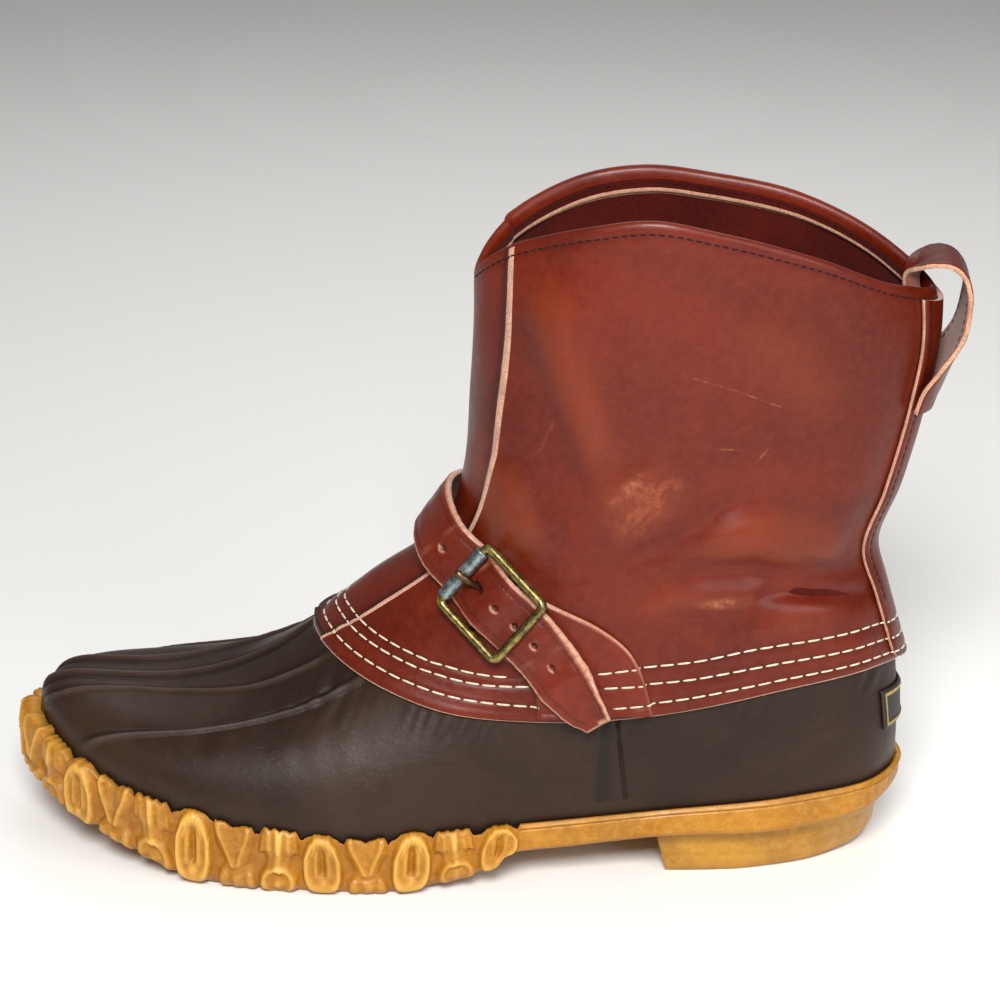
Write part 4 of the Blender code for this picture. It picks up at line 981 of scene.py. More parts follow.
# Rows of the upper: up the band over the rubber, up the shaft, over the fold and down inside
BAND_ROWS = np.concatenate([[0.0, 0.0004, 0.0011], np.linspace(0.0022, LAP, 20)])
SHAFT_ROWS = 118
OUTER_ROWS = len(BAND_ROWS) + SHAFT_ROWS
INSIDE_ROWS = 60
# Where the fold starts outside and ends inside, below the collar's edge
FOLD_START = 0.0055
INSIDE_START = 0.0100
# Section of the collar's fold: distance below the edge and depth under the outside, metres
COLLAR_FOLD = (
    (0.0042, 0.0), (0.0030, 0.00003), (0.0021, 0.00014), (0.0014, 0.00032), (0.0008, 0.0006),
    (0.0003, 0.0010), (0.0000, 0.0016), (0.0001, 0.0022), (0.0005, 0.0028), (0.0013, 0.0033),
    (0.0026, 0.0036), (0.0045, 0.0037), (0.0076, 0.0036), (0.0084, 0.0036), (0.0090, 0.0034),
    (0.0092, 0.0028), (0.0094, LEATHER_WALL + 0.0001),
)
# Stitch rows over the rubber: distance above the leather's edge in metres at places in x
STITCH_PLACES = (0.0, 0.060, 0.111, 0.154, 0.205)
STITCH_ROWS = (
    (0.0030, 0.0042, 0.0051, 0.0060, 0.0052),
    (0.0080, 0.0100, 0.0120, 0.0125, 0.0108),
    (0.0138, 0.0158, 0.0173, 0.0163, 0.0146),
)
# Distance of the seams from the collar's edge and from the sides of the stay
COLLAR_SEAM = 0.0041
STAY_SEAM = 0.0030
STAY_CORNER = 0.006
STAY_ROWS = 130
# How far the back stay ends below the collar's edge
STAY_TOP = 0.0040
# Width of the front strip at each of LEATHER_RINGS, as a multiple of the width in FRONT
STRIP_SPREAD = (1.25, 1.50, 1.42, 1.62, 1.76, 1.76, 1.74)

# Soft folds of the leather. Columns: side (1 is lateral), width and height of the fold in
# millimetres, then its line as x, z in millimetres.
FOLD_SHARE = 1.25
FOLDS = (
    (1, 7.0, 1.6, ((123, 209), (120, 195), (118, 183), (112, 171), (107, 158), (103, 147))),
    (1, 8.0, -1.3, ((129, 196), (126, 175), (121, 156), (118, 138), (112, 123))),
    (1, 9.0, 1.5, ((137, 146), (132, 128), (128, 113))),
    (1, 11.0, 0.9, ((99, 147), (93, 138), (86, 128))),
    (1, 4.5, -1.3, ((98, 113), (86, 120), (76, 125), (63, 134), (52, 141))),
    (1, 9.0, 2.4, ((72, 121), (62, 124), (50, 122), (37, 117), (24, 112))),
    (1, 5.5, -1.8, ((78, 109), (68, 111), (55, 112), (38, 108), (20, 103))),
    (1, 5.0, 1.1, ((92, 99), (78, 104), (64, 106), (48, 106))),
    (1, 2.4, -1.7, ((52, 103.5), (38, 102.5), (24, 100), (13, 96), (7, 92))),
    (1, 9.0, 0.8, ((50, 96), (36, 94), (22, 91))),
    (1, 3.0, -0.5, ((46, 119), (36, 113), (24, 107), (15, 103))),
    (1, 10.0, 0.7, ((60, 200), (44, 184), (30, 160))),
    (-1, 9.0, 1.6, ((70, 122), (52, 123), (36, 118), (22, 112))),
    (-1, 5.5, -1.6, ((80, 108), (62, 111), (40, 108), (20, 103))),
    (-1, 2.6, -1.2, ((54, 103), (38, 102), (22, 98), (10, 93))),
    (-1, 8.0, -1.0, ((128, 186), (121, 160), (112, 132))),
    (-1, 7.0, 1.1, ((120, 196), (112, 172), (102, 148))),
)


def leather_field(front, back, shares, steps=261):
    levels = np.array([
        ring_at(rows, leather_columns(rows, np.asarray(front) * spread, back, shares))
        for rows, spread in zip(LEATHER_RINGS, STRIP_SPREAD)
    ])
    dense = np.linspace(0, len(levels) - 1, steps)
    lines = np.array([curve_at(levels[:, c], dense, False) for c in range(levels.shape[1])])
    length = np.linalg.norm(np.diff(lines, axis=1), axis=2)
    along = np.concatenate([np.zeros((len(lines), 1)), np.cumsum(length, axis=1)], axis=1)
    normals = np.swapaxes(grid_normals(np.swapaxes(lines, 0, 1)), 0, 1)
    return lines, along, normals


def sample(field, distance):
    """Points and normals of the leather's outside at distances from its lower edge, rows by columns."""
    lines, along, normals = field
    points = np.empty(distance.shape + (3,))
    out = np.empty(distance.shape + (3,))
    for c in range(len(lines)):
        for k in range(3):
            points[:, c, k] = np.interp(distance[:, c], along[c], lines[c, :, k])
            out[:, c, k] = np.interp(distance[:, c], along[c], normals[c, :, k])
    return points, unit(out)


def stitch_distance(field, row):
    """Distance of a stitch row along each column, so that it runs square to the leather's edge."""
    edge = field[0][:, 0]
    along = unit(np.roll(edge, -2, axis=0) - np.roll(edge, 2, axis=0))
    ahead, _ = sample(field, np.full((1, len(edge)), 0.010))
    square = np.linalg.norm(np.cross(along, unit(ahead[0] - edge)), axis=1)
    square = np.convolve(np.pad(square, 3, "wrap"), np.ones(7) / 7, "valid")
    return np.interp(edge[:, 0], STITCH_PLACES, row) / np.clip(square, 0.45, 1.0)


def front_distances(front, back, shares):
    """Signed distance of each column from the front centre line; infinite past the front group."""
    far = np.full(2 * len(shares) + 2 * len(back) + 1, 1.0)
    return np.concatenate([[0.0], front, far, -np.asarray(front)[::-1]])


def fold_relief(points):
    """Height of the listed folds at each point."""
    total = np.zeros(points.shape[:-1])
    flat = points.reshape(-1, 3) / MM
    for side, width, height, line in FOLDS:
        line = np.array(line, float)
        nearest = np.full(len(flat), 1e9)
        share = np.zeros(len(flat))
        spans = np.linalg.norm(np.diff(line, axis=0), axis=1)
        done = 0.0
        for a, b, span in zip(line[:-1], line[1:], spans):
            f = np.clip(((flat[:, [0, 2]] - a) @ (b - a)) / span**2, 0, 1)
            gap = np.linalg.norm(flat[:, [0, 2]] - (a + f[:, None] * (b - a)), axis=1)
            closer = gap < nearest
            nearest = np.where(closer, gap, nearest)
            share = np.where(closer, (done + f * span) / spans.sum(), share)
            done += span
        ends = np.clip(4 * share * (1 - share) + 0.15, 0, 1)
        on_side = smoothstep(side * flat[:, 1], 4, 14)
        total += (height * bell(nearest, width) * ends * on_side).reshape(total.shape)
    return FOLD_SHARE * total * MM


def small_wrinkles(points):
    """Fine creases over the ankle and the vamp, from a few crossed waves."""
    x, _, z = np.moveaxis(points / MM, -1, 0)
    ankle = bell(z - 118, 26) * smoothstep(x, 20, 60) * (1 - smoothstep(x, 120, 150))
    wave = np.sin(0.95 * z + 0.25 * x + 2.2 * np.sin(0.06 * x + 0.11 * z))
    cross = np.sin(0.42 * z - 0.33 * x + 1.7 * np.sin(0.09 * x))
    return 0.10 * MM * ankle * (wave * 0.6 + cross * 0.7)


def strip_share(front, row_place):
    """1 on the sunk front strip, 0 on the panels, with an uneven raw edge between."""
    jitter = 0.00022 * wobble(row_place, 3.0, 0.013) * np.ones_like(front)
    return 1 - smoothstep(np.abs(front) - jitter, STEP_FROM, STEP_TO)


def upper_rows(whole):
    """Distance from the lower edge and depth under the outside, row by row: up the outside, over
    the collar's fold and down inside."""
    level = np.zeros(len(whole))
    below, fold_depth = np.array(COLLAR_FOLD).T[:, :, None]
    up = (np.arange(SHAFT_ROWS) + 1)[:, None] / SHAFT_ROWS
    down = np.linspace(1, 0, INSIDE_ROWS)[:, None]
    distance = [
        BAND_ROWS[:, None] + level,
        LAP + (whole - FOLD_START - LAP) * up,
        whole - below,
        (whole - INSIDE_START) * down,
    ]
    depth = [np.zeros((OUTER_ROWS, 1)), fold_depth, np.full((INSIDE_ROWS, 1), LEATHER_WALL)]
    return np.concatenate(distance), np.concatenate(depth) + level


def upper_relief(field, points, distance, front, outside):
    """Height of the folds, seams and raised edges on the outside, and the masks of the seams."""
    whole = field[1][:, -1]
    relief = (fold_relief(points) + small_wrinkles(points)) * outside
    relief *= smoothstep(distance, 0.006, 0.030) * (1 - smoothstep(distance, whole - 0.02, whole))
    seam = np.zeros_like(distance)
    for row in STITCH_ROWS:
        seam += bell(distance - stitch_distance(field, row), 0.0009)
    collar_seam = bell(whole - distance - COLLAR_SEAM, 0.0008)
    relief -= 0.00028 * seam * outside + 0.00020 * collar_seam * outside
    puffed = bell(distance - 0.0090, 0.0022) + bell(distance - 0.0030, 0.0018)
    relief += 0.00020 * puffed * outside
    lip = bell(np.abs(front) - STEP_TO - 0.0006, 0.0008)[None, :] * outside
    return relief + 0.00018 * lip, seam, collar_seam


def upper_looks(front, rows):
    """Look of each face: leather outside, raw where it is cut, suede inside."""
    columns, inner_rows = len(front), OUTER_ROWS + len(COLLAR_FOLD)
    r = np.repeat(np.arange(rows), columns)
    here = np.tile(np.abs(front), rows)
    ahead = np.tile(np.abs(np.roll(front, -1)), rows)
    low, high = np.minimum(here, ahead), np.maximum(here, ahead)
    on_step = (low >= STEP_FROM - 1e-6) & (high <= RAW_TO + 1e-6) & (r < OUTER_ROWS + 3)
    which = np.where(r < OUTER_ROWS + 11, 0, 2)
    which = np.where((r >= OUTER_ROWS + 12) & (r < inner_rows), 1, which)
    return np.where(on_step | (r == rows - 1) | (r == 0), 1, which)


def upper_piece(leather, raw, suede):
    """Shaft and vamp in one, with the sunk front strip and the folded collar."""
    field = leather_field(FRONT, BACK, SIDE)
    front = front_distances(FRONT, BACK, SIDE)
    distance, depth = upper_rows(field[1][:, -1])
    points, normals = sample(field, distance)
    share = strip_share(front[None, :] * np.ones_like(distance), distance)
    rows, columns = distance.shape
    inner_rows = OUTER_ROWS + len(COLLAR_FOLD)
    outside = (np.arange(rows) < OUTER_ROWS + 6).astype(float)[:, None]
    floor = np.where(share > 0.5, STRIP_STEP + STRIP_WALL, LEATHER_WALL)
    depth[inner_rows:] = floor[inner_rows:]
    sunk = share[:inner_rows] * STRIP_STEP
    depth[:inner_rows] += sunk * np.where(depth[:inner_rows] < LEATHER_WALL, 1.0, 0.6)
    edge_round = 0.0006 * (1 - smoothstep(distance, 0.0, 0.0011)) * outside
    relief, seam, collar_seam = upper_relief(field, points, distance, front, outside)
    points = points + normals * (relief - depth - edge_round)[..., None]
    # Painted shadow beside the sunk front strip's raw edge
    shadow_beside_step = bell(np.abs(front) - 0.0132, 0.0010)
    marks = {
        # Painted shade in the seams and beside the step
        "recess_shade": np.clip(0.55 * seam + 0.5 * collar_seam + 0.9 * shadow_beside_step, 0, 1) * outside,
        # Painted highlight on the raised folds
        "raised": np.clip(relief / 0.0012, 0, 1),
    }
    flat, faces = points.reshape(-1, 3), grid_faces(rows, columns, wrap=True, close=True)
    piece("upper_leather", flat, faces, [leather, raw, suede], ["upper"], marks,
          upper_looks(front, rows))
    return field, tree_of(flat, faces)


def back_field(back):
    """Leather field with few columns beside those at the back, and the number of the middle one."""
    sides = SIDE[::12]
    return leather_field(np.array([0.01, FRONT_END]), back, sides), 2 + len(sides) + len(back) + 1


def stay_piece(leather, raw):
    """The strip over the back seam, down to the leather's edge."""
    back = np.linspace(STAY_HALF_WIDTH, 0.0008, 16)
    field, middle = back_field(back)
    whole = field[1][:, -1]
    use = np.arange(middle - len(back), middle + len(back) + 1)
    across = np.concatenate([back, [0.0], -back[::-1]])
    distance = np.linspace(0.0, 1.0, STAY_ROWS)[:, None] * (whole - STAY_TOP)
    points, normals = sample(field, distance)
    points, normals, distance = points[:, use], normals[:, use], distance[:, use]
    edge = STAY_HALF_WIDTH - np.abs(across)[None, :]
    under = np.maximum(STAY_CORNER - distance, 0)
    corner = STAY_CORNER - np.hypot(np.maximum(STAY_CORNER - edge, 0), under)
    thick = STAY_THICKNESS * (0.72 + 0.28 * smoothstep(np.minimum(edge, corner), 0.0, 0.0012))
    seam = bell(edge - STAY_SEAM, 0.0005) * smoothstep(distance, 0.02, 0.024)
    for row in STITCH_ROWS:
        seam = seam + bell(distance - stitch_distance(field, row)[use], 0.0008)
    thick = thick - 0.00025 * seam
    inset = STAY_CORNER - np.sqrt(np.maximum(STAY_CORNER**2 - under**2, 0))
    scale = 1 - inset / STAY_HALF_WIDTH
    centre = points[:, len(back)][:, None]
    spread = centre + (points - centre) * scale[..., None]
    far = spread + normals * (FIT_GAP + thick)[..., None]
    near = spread + normals * FIT_GAP
    # The recess mask paints shade into the stitch grooves
    slab("back_stay_leather", far, near, [leather, raw], ["back_stay"],
         {"recess_shade": np.clip(seam, 0, 1)})
    return far, normals, across, distance


def slab(name, outer, inner, looks, nodes, marks=None, edge=1, under=None):
    """Closed sheet between two grids; its rim takes the second look and its inside the look under."""
    rows, columns = outer.shape[:2]
    count = rows * columns
    top = grid_faces(rows, columns)
    low = top[:, ::-1] + count
    rim = [(0, c) for c in range(columns - 1)] + [(r, columns - 1) for r in range(rows - 1)]
    rim += [(rows - 1, c) for c in range(columns - 1, 0, -1)] + [(r, 0) for r in range(rows - 1, 0, -1)]
    walls = []
    for k, (r, c) in enumerate(rim):
        r2, c2 = rim[(k + 1) % len(rim)]
        a, b = r * columns + c, r2 * columns + c2
        walls.append((b, a, count + a, count + b))
    faces = np.concatenate([top, low, np.array(walls)])
    which = np.concatenate([
        np.zeros(len(top)), np.full(len(low), edge if under is None else under), np.full(len(walls), edge)
    ])
    points = np.concatenate([outer.reshape(-1, 3), inner.reshape(-1, 3)])
    full = {}
    for label, values in (marks or {}).items():
        values = np.broadcast_to(values, outer.shape[:2]).reshape(-1)
        full[label] = np.concatenate([values, np.zeros(count)])
    piece(name, points, faces, looks, nodes, full, which)
    return points, faces


LOOP_ROWS = 110
LOOP_COLUMNS = 25


def loop_piece(leather, raw, flesh):
    """The pull loop: the solid's rows, spaced finer, with pale cut edges and two seams."""
    half = STAY_HALF_WIDTH
    (lines, _, normals), middle = back_field(np.array([half, half / 2]))
    use = [middle - 2, middle - 1, middle, middle + 1, middle + 2]
    low = lines[middle, -1, 2]
    rows = []
    for height, out, straight in LOOP_PATH:
        z = low + height * LOOP_LENGTH
        out = out * LOOP_STAND
        bases, outs = [], []
        for c in use:
            heights = lines[c][:, 2]
            base = np.array([np.interp(z, heights, lines[c][:, k]) for k in range(3)])
            base[2] = z
            n = np.array([np.interp(z, heights, normals[c][:, k]) for k in range(3)])
            bases.append(base)
            outs.append(unit(n * (1.0, 1.0, 0.0)))
        centre = bases[2] + outs[2] * out
        across = np.array([-outs[2][1], outs[2][0], 0.0])
        row = []
        for k, share in enumerate(ACROSS):
            flat = centre + across * half * share
            row.append((bases[k] + outs[k] * out) * (1 - straight) + flat * straight)
        rows.append(row)
    rows = np.array(rows)
    t = np.linspace(0, len(rows) - 1, LOOP_ROWS)
    f = np.linspace(0, len(ACROSS) - 1, LOOP_COLUMNS)
    fine = np.array([curve_at(rows[:, c], t, False) for c in range(len(ACROSS))])
    fine = np.array([curve_at(fine[:, r], f, False) for r in range(LOOP_ROWS)])
    across = np.linspace(-half, half, LOOP_COLUMNS)
    edge = half - np.abs(across)[None, :]
    face = unit(np.cross(np.gradient(fine, axis=0), np.gradient(fine, axis=1)))
    thick = LOOP_THICKNESS / 2 * (0.70 + 0.30 * smoothstep(edge, 0.0, 0.0012)) * np.ones((LOOP_ROWS, 1))
    seam = bell(edge - 0.0028, 0.0005) * np.ones((LOOP_ROWS, 1))
    uneven = 0.00012 * wobble(t[:, None] * 0.004 + across[None, :], 5.0, 0.009)
    outer = fine + face * (thick - 0.0002 * seam + uneven)[..., None]
    inner = fine - face * (thick - uneven)[..., None]
    # The recess mask paints shade into the seam grooves
    slab("pull_loop_leather", outer, inner, [flesh, raw, leather], ["pull_loop"],
         {"recess_shade": np.clip(seam, 0, 1) * 0.8}, under=2)
    return [(outer[3:40, side], face[3:40, side]) for side in (3, LOOP_COLUMNS - 4)]


# Rubber shell

RUBBER_ROWS = 74
PUCKER_HEIGHT = 0.00035
VAMP_HEIGHT = 0.00007
# Rise of the rubber's top edge over its last row, under the leather
TOP_RISE = 0.004
RUBBER_FRONT = np.linspace(0.0007, 0.0590, 92)
RUBBER_BACK = np.linspace(LABEL_HALF_WIDTH, 0.0015, 11)
# Ring parameters close enough together to measure along a ring
DENSE = np.arange(1441) * STATIONS / 1440
RIDGE_WIDTH = 0.0016
GROOVE_OFFSET = 0.0032

# Lower and upper edge of the heel patch as shares of the rubber's height
LABEL_LEVELS = (0.39, 0.745)

# Upright lines on the outer side: distance from the heel in x, width and depth, metres
UPRIGHT_LINES = ((0.0959, 0.0006, 0.00090), (0.1023, 0.0024, 0.00085))
LINE_LEAN = 0.004


def side_columns():
    """Shares of the columns along one side, closer at the upright lines, and where those lie."""
    ends = t_from_front(FEATHER, RUBBER_FRONT[-1]), t_from_back(FEATHER, RUBBER_BACK[0])
    shares = np.linspace(0, 1, 400)
    points = rubber_smooth(ends[0] + (ends[1] - ends[0]) * shares, 0.5)
    length = np.linalg.norm(np.diff(points, axis=0), axis=1).sum()
    lines = [np.interp(-x, -points[:, 0], shares) for x, _, _ in UPRIGHT_LINES]
    near = np.array((-1.2, -0.8, -0.5, -0.25, 0.0, 0.25, 0.5, 0.8, 1.2)) * MM / length
    plain = (np.arange(150) + 1) / 151
    plain = plain[np.abs(plain - lines[0]) > 1.5 * MM / length]
    return np.sort(np.concatenate([plain, lines[0] + near])), lines, length


RUBBER_SIDE, LINE_SHARES, SIDE_LENGTH = side_columns()


def rubber_parameters(v):
    """Ring parameters of the fine columns at height share v, with their distance from the front."""
    ring = rubber_smooth(DENSE, v)
    along = arc_length(ring)
    middle = np.interp(STATIONS / 2, DENSE, along)
    t_f = np.interp(RUBBER_FRONT, along, DENSE)
    m_f = np.interp(along[-1] - RUBBER_FRONT[::-1], along, DENSE)
    t_b = np.interp(middle - RUBBER_BACK, along, DENSE)
    m_b = np.interp(middle + RUBBER_BACK[::-1], along, DENSE)
    between = (DENSE > t_f[-1]) & (DENSE < t_b[0])
    line_x = UPRIGHT_LINES[0][0] + LINE_LEAN * (v - 0.75)
    at_line = np.interp(-line_x, -ring[between, 0], DENSE[between])
    lateral = np.interp(RUBBER_SIDE, (0, LINE_SHARES[0], 1), (t_f[-1], at_line, t_b[0]))
    medial = m_b[-1] + (m_f[0] - m_b[-1]) * RUBBER_SIDE
    t = np.concatenate([[0.0], t_f, lateral, t_b, [STATIONS / 2], m_b, medial, m_f])
    s = np.interp(t, DENSE, along)
    return t, np.minimum(s, along[-1] - s)


def ridge_relief(distance, v):
    """Raised toe ridges with a groove on each one's inner side, and the mask of the grooves."""
    height = RIB_HEIGHT * bell(distance, RIDGE_WIDTH)
    groove = bell(distance - GROOVE_OFFSET, 0.0011)
    for row in RIDGES:
        place = np.interp(v, RIDGE_LEVELS, row) * HALF_WIDTH
        height = height + RIB_HEIGHT * bell(distance - place, RIDGE_WIDTH)
        groove = groove + bell(distance - place + GROOVE_OFFSET, 0.0013)
    fade = np.interp(v, (0.03, 0.16, 0.93, 1.0), (0.0, 1.0, 1.0, 0.5))
    return (height - 0.00055 * groove) * fade, groove * fade


def upright_lines(shape, v):
    """Depth of the upright lines on the outer side of the shell."""
    lines = np.zeros(shape)
    lateral = slice(1 + len(RUBBER_FRONT), 1 + len(RUBBER_FRONT) + len(RUBBER_SIDE))
    for share, (_, wide, deep) in zip(LINE_SHARES, UPRIGHT_LINES):
        lines[:, lateral] += deep * bell((RUBBER_SIDE - share) * SIDE_LENGTH, wide)
    return lines * smoothstep(v, 0.08, 0.16)


def rubber_waves(smooth, v):
    """Puckers under the leather's edge and soft waves over the toes, each between -1 and 1."""
    x, y, z = np.moveaxis(smooth / MM, -1, 0)
    under_edge = smoothstep(v, 0.72, 0.86) * (1 - smoothstep(v, 0.97, 1.0))
    pucker = np.sin(1.25 * x + 1.3 * np.sin(0.31 * x) + 0.5 * z) * (0.5 + 0.5 * np.sin(0.13 * x + 1.0))
    vamp = np.sin(0.55 * x + 0.9 * np.sin(0.07 * y + 0.05 * x)) * bell(x - 205, 26)
    pucker = pucker * under_edge * smoothstep(np.abs(y), 12, 24)
    return pucker, vamp * smoothstep(v, 0.3, 0.6) * smoothstep(np.abs(y), 8, 20)


def rubber_piece(rubber, lining):
    """The shell, from its foot in the sole up under the leather, and down inside."""
    shares = np.linspace(0, 1, RUBBER_ROWS) ** 0.96
    columns = [rubber_parameters(v) for v in shares]
    smooth = np.array([rubber_smooth(t, v) for (t, _), v in zip(columns, shares)])
    ridges = np.array([ridge_relief(distance, v) for (_, distance), v in zip(columns, shares)])
    normals = grid_normals(smooth)
    v = shares[:, None]
    clear = (LEATHER_WALL + FIT_GAP) * v**2
    lines = upright_lines(smooth.shape[:2], v)
    pucker, vamp = rubber_waves(smooth, v)
    relief = ridges[:, 0] - lines + PUCKER_HEIGHT * pucker + VAMP_HEIGHT * vamp
    outer = smooth + normals * (relief - clear)[..., None]
    inner = smooth - normals * (clear + RUBBER_WALL)[..., None]
    foot = outer[0] - plan_normals(outer[0]) * FOOT_INSET
    foot[:, 2] = bed_height(foot[:, 0]) + SOLE_GAP
    foot_in = foot - plan_normals(foot) * RUBBER_WALL
    top = outer[-1] - normals[-1] * 0.0006 + (0, 0, TOP_RISE)
    top_in = top - normals[-1] * RUBBER_WALL
    rings = np.concatenate([[foot], outer, [top], [top_in], inner[::-3], [foot_in]])
    on_outside = slice(1, len(outer) + 1)
    # Painted shade: darker in the grooves beside the ridges, in the upright lines, in the pucker troughs
    # and in the rows just above the sole
    recess_shade = np.zeros(rings.shape[:2])
    recess_shade[on_outside] = ridges[:, 1] * 0.9
    recess_shade[1:5] += np.linspace(0.8, 0.0, 4)[:, None]
    recess_shade[on_outside] += np.clip(lines / 0.0007, 0, 1) ** 2 + 0.5 * np.clip(-pucker, 0, 1)
    # Painted highlight: lighter on the ridge tops
    high = np.zeros(rings.shape[:2])
    high[on_outside] = np.clip(relief / RIB_HEIGHT, 0, 1) ** 2
    marks = {"recess_shade": np.clip(recess_shade, 0, 1), "raised": high}
    which = np.repeat(np.where(np.arange(len(rings)) < len(outer) + 2, 0, 1), rings.shape[1])
    faces = grid_faces(*rings.shape[:2], wrap=True, close=True)
    piece("rubber_foot_shell", rings.reshape(-1, 3), faces, [rubber, lining],
          ["rubber_shell"], marks, which)
    return inner


def label_piece(patch, outline):
    """Bare patch on the back of the rubber with a plain raised border."""
    levels = np.linspace(*LABEL_LEVELS, 40)
    across = np.linspace(-LABEL_HALF_WIDTH, LABEL_HALF_WIDTH, 60)
    rows = []
    for v in levels:
        along = arc_length(rubber_smooth(DENSE, v))
        middle = np.interp(STATIONS / 2, DENSE, along)
        rows.append(rubber_smooth(np.interp(middle + across, along, DENSE), v))
    rows = np.array(rows)
    out = unit(np.cross(np.gradient(rows, axis=1), np.gradient(rows, axis=0)))
    out *= np.sign(-out[:, :, :1])
    clear = (LEATHER_WALL + FIT_GAP) * levels[:, None] ** 2
    height = np.linalg.norm(rows[-1, 30] - rows[0, 30])
    up = np.minimum(levels - levels[0], levels[-1] - levels)[:, None] / (levels[-1] - levels[0])
    edge = np.minimum(LABEL_HALF_WIDTH - np.abs(across)[None, :], up * height)
    border = bell(edge - 0.0016, 0.0006)
    thick = LABEL_THICKNESS * (0.6 + 0.4 * smoothstep(edge, 0, 0.0006)) + 0.0003 * border
    near = rows + out * (FIT_GAP - clear)[..., None]
    far = near + out * thick[..., None]
    slab("heel_patch", far, near, [patch, patch], ["heel_label"])
    mark = grid_faces(*far.shape[:2])
    centre = border.reshape(-1)[mark].mean(axis=1) > 0.45
    lift = (far + out * 0.00012).reshape(-1, 3)
    used = np.unique(mark[centre])
    number = {int(v): k for k, v in enumerate(used)}
    faces = [tuple(number[int(v)] for v in f) for f in mark[centre]]
    piece("heel_patch_border", lift[used], faces, [outline], ())


# Sole and heel

SOLE_ROWS = 52
# The lug shapes below are drawn this share of their true width
LUG_NARROW = 0.83
# Shapes of the lugs from the toe backwards, the same on both sides
LUG_KINDS = (
    "oval", "horns", "stem", "oval", "horns", "stem", "oval", "horns", "stem", "oval", "horns",
    "oval", "stem", "oval",
)
# Half widths of the waisted lugs at shares of their height
STEM_OUTLINE = (
    (0, 0.27), (0.10, 0.36), (0.30, 0.37), (0.44, 0.22), (0.60, 0.22), (0.70, 0.36), (0.92, 0.35),
    (1.0, 0.27),
)
HORN_OUTLINE = (
    (0, 0.28), (0.08, 0.36), (0.26, 0.34), (0.42, 0.20), (0.56, 0.26), (0.75, 0.37), (1.0, 0.38),
)
COLUMNS_PER_LUG = 28
PLAIN_COLUMNS = 110
TREAD_STEPS = 26
# Across the tread: width of a lane, depth of its grooves and where it starts, from the heel
LANE_WIDTH = 0.011
GROOVE_DEPTH = 0.0017
TREAD_START = (0.124, 0.136)


def oval_lug(p, h):
    """Height of an oval lug with a slot and a knob: p across and h up, as in lug_relief."""
    q = (np.abs(p / 0.385) ** 2.5 + np.abs((h - 0.50) / 0.53) ** 2.5) ** 0.4
    slot = bell(p, 0.055) * smoothstep(h, 0.30, 0.38) * (1 - smoothstep(h, 0.66, 0.84))
    bars = bell(np.abs(p) - 0.12, 0.055) * smoothstep(h, 0.26, 0.36) * (1 - smoothstep(h, 0.72, 0.9))
    knob = bell(np.hypot(p / 0.11, (h - 0.24) / 0.09), 0.9)
    ribs = np.cos(np.arctan2(p, 1.12 - h) * 30) * smoothstep(h, 0.58, 0.72)
    share = 0.58 + 0.40 * bell(q - 0.80, 0.17) + 0.24 * bars - 0.50 * slot + 0.36 * knob + 0.07 * ribs
    return np.clip(share, 0.05, 1.15) * (1 - smoothstep(q, 0.86, 1.05))


def stem_lug(p, h):
    """Height of a waisted lug with an arch and a knob below and ribs above."""
    wide = np.interp(h, *np.array(STEM_OUTLINE).T)
    q = np.hypot(p / 0.34, (h - 0.20) / 0.27)
    arch = 0.42 * bell(q - 0.80, 0.20) * smoothstep(0.50 - h, 0.0, 0.1)
    knob = 0.40 * bell(np.hypot(p / 0.12, (h - 0.17) / 0.09), 0.9)
    stem = 0.38 * bell(p, 0.085) * smoothstep(h, 0.30, 0.42)
    ribs = (0.20 + 0.13 * np.cos(p * 34)) * smoothstep(h, 0.60, 0.74)
    return np.clip(0.52 + arch + knob + stem + ribs, 0.05, 1.15) * inside_outline(p, wide)


def horned_lug(p, h):
    """Height of a waisted lug whose two arms spread to its top."""
    arms = 0.05 + 0.24 * smoothstep(h, 0.36, 0.98)
    wide = np.interp(h, *np.array(HORN_OUTLINE).T)
    horns = 0.48 * bell(np.abs(p) - arms, 0.075) * smoothstep(h, 0.30, 0.44)
    inner = 0.15 * bell(np.abs(p) - arms * 0.42, 0.04) * smoothstep(h, 0.55, 0.75)
    foot = 0.40 * smoothstep(0.34 - h, 0.0, 0.10) * (1 - 0.6 * bell(np.abs(p) - 0.13, 0.05))
    return np.clip(0.48 + horns + inner + foot, 0.05, 1.15) * inside_outline(p, wide)


def inside_outline(p, wide):
    return 1 - smoothstep(np.abs(p), wide - 0.05, wide + 0.055)


LUG_SHAPES = {"oval": oval_lug, "stem": stem_lug, "horns": horned_lug}


def lug_relief(p, h, kind):
    """Share of LUG_PROUD over one lug: p runs across it from -0.5 to 0.5 and h up it from 0 to 1."""
    return LUG_SHAPES[kind](np.asarray(p, float) * LUG_NARROW, np.asarray(h, float))


def lug_crest(p, kind):
    """How far the top edge of a lug lies below the line of the tops, in metres."""
    p = np.abs(np.asarray(p, float)) * LUG_NARROW
    if kind == "oval":
        return LUG_DIP * smoothstep(p, 0.10, 0.44)
    if kind == "stem":
        return LUG_DIP * smoothstep(p, 0.30, 0.42) + 0.0003 * np.cos(p * 34)
    return LUG_DIP * smoothstep(p, 0.35, 0.44) + 0.0013 * bell(p, 0.13)


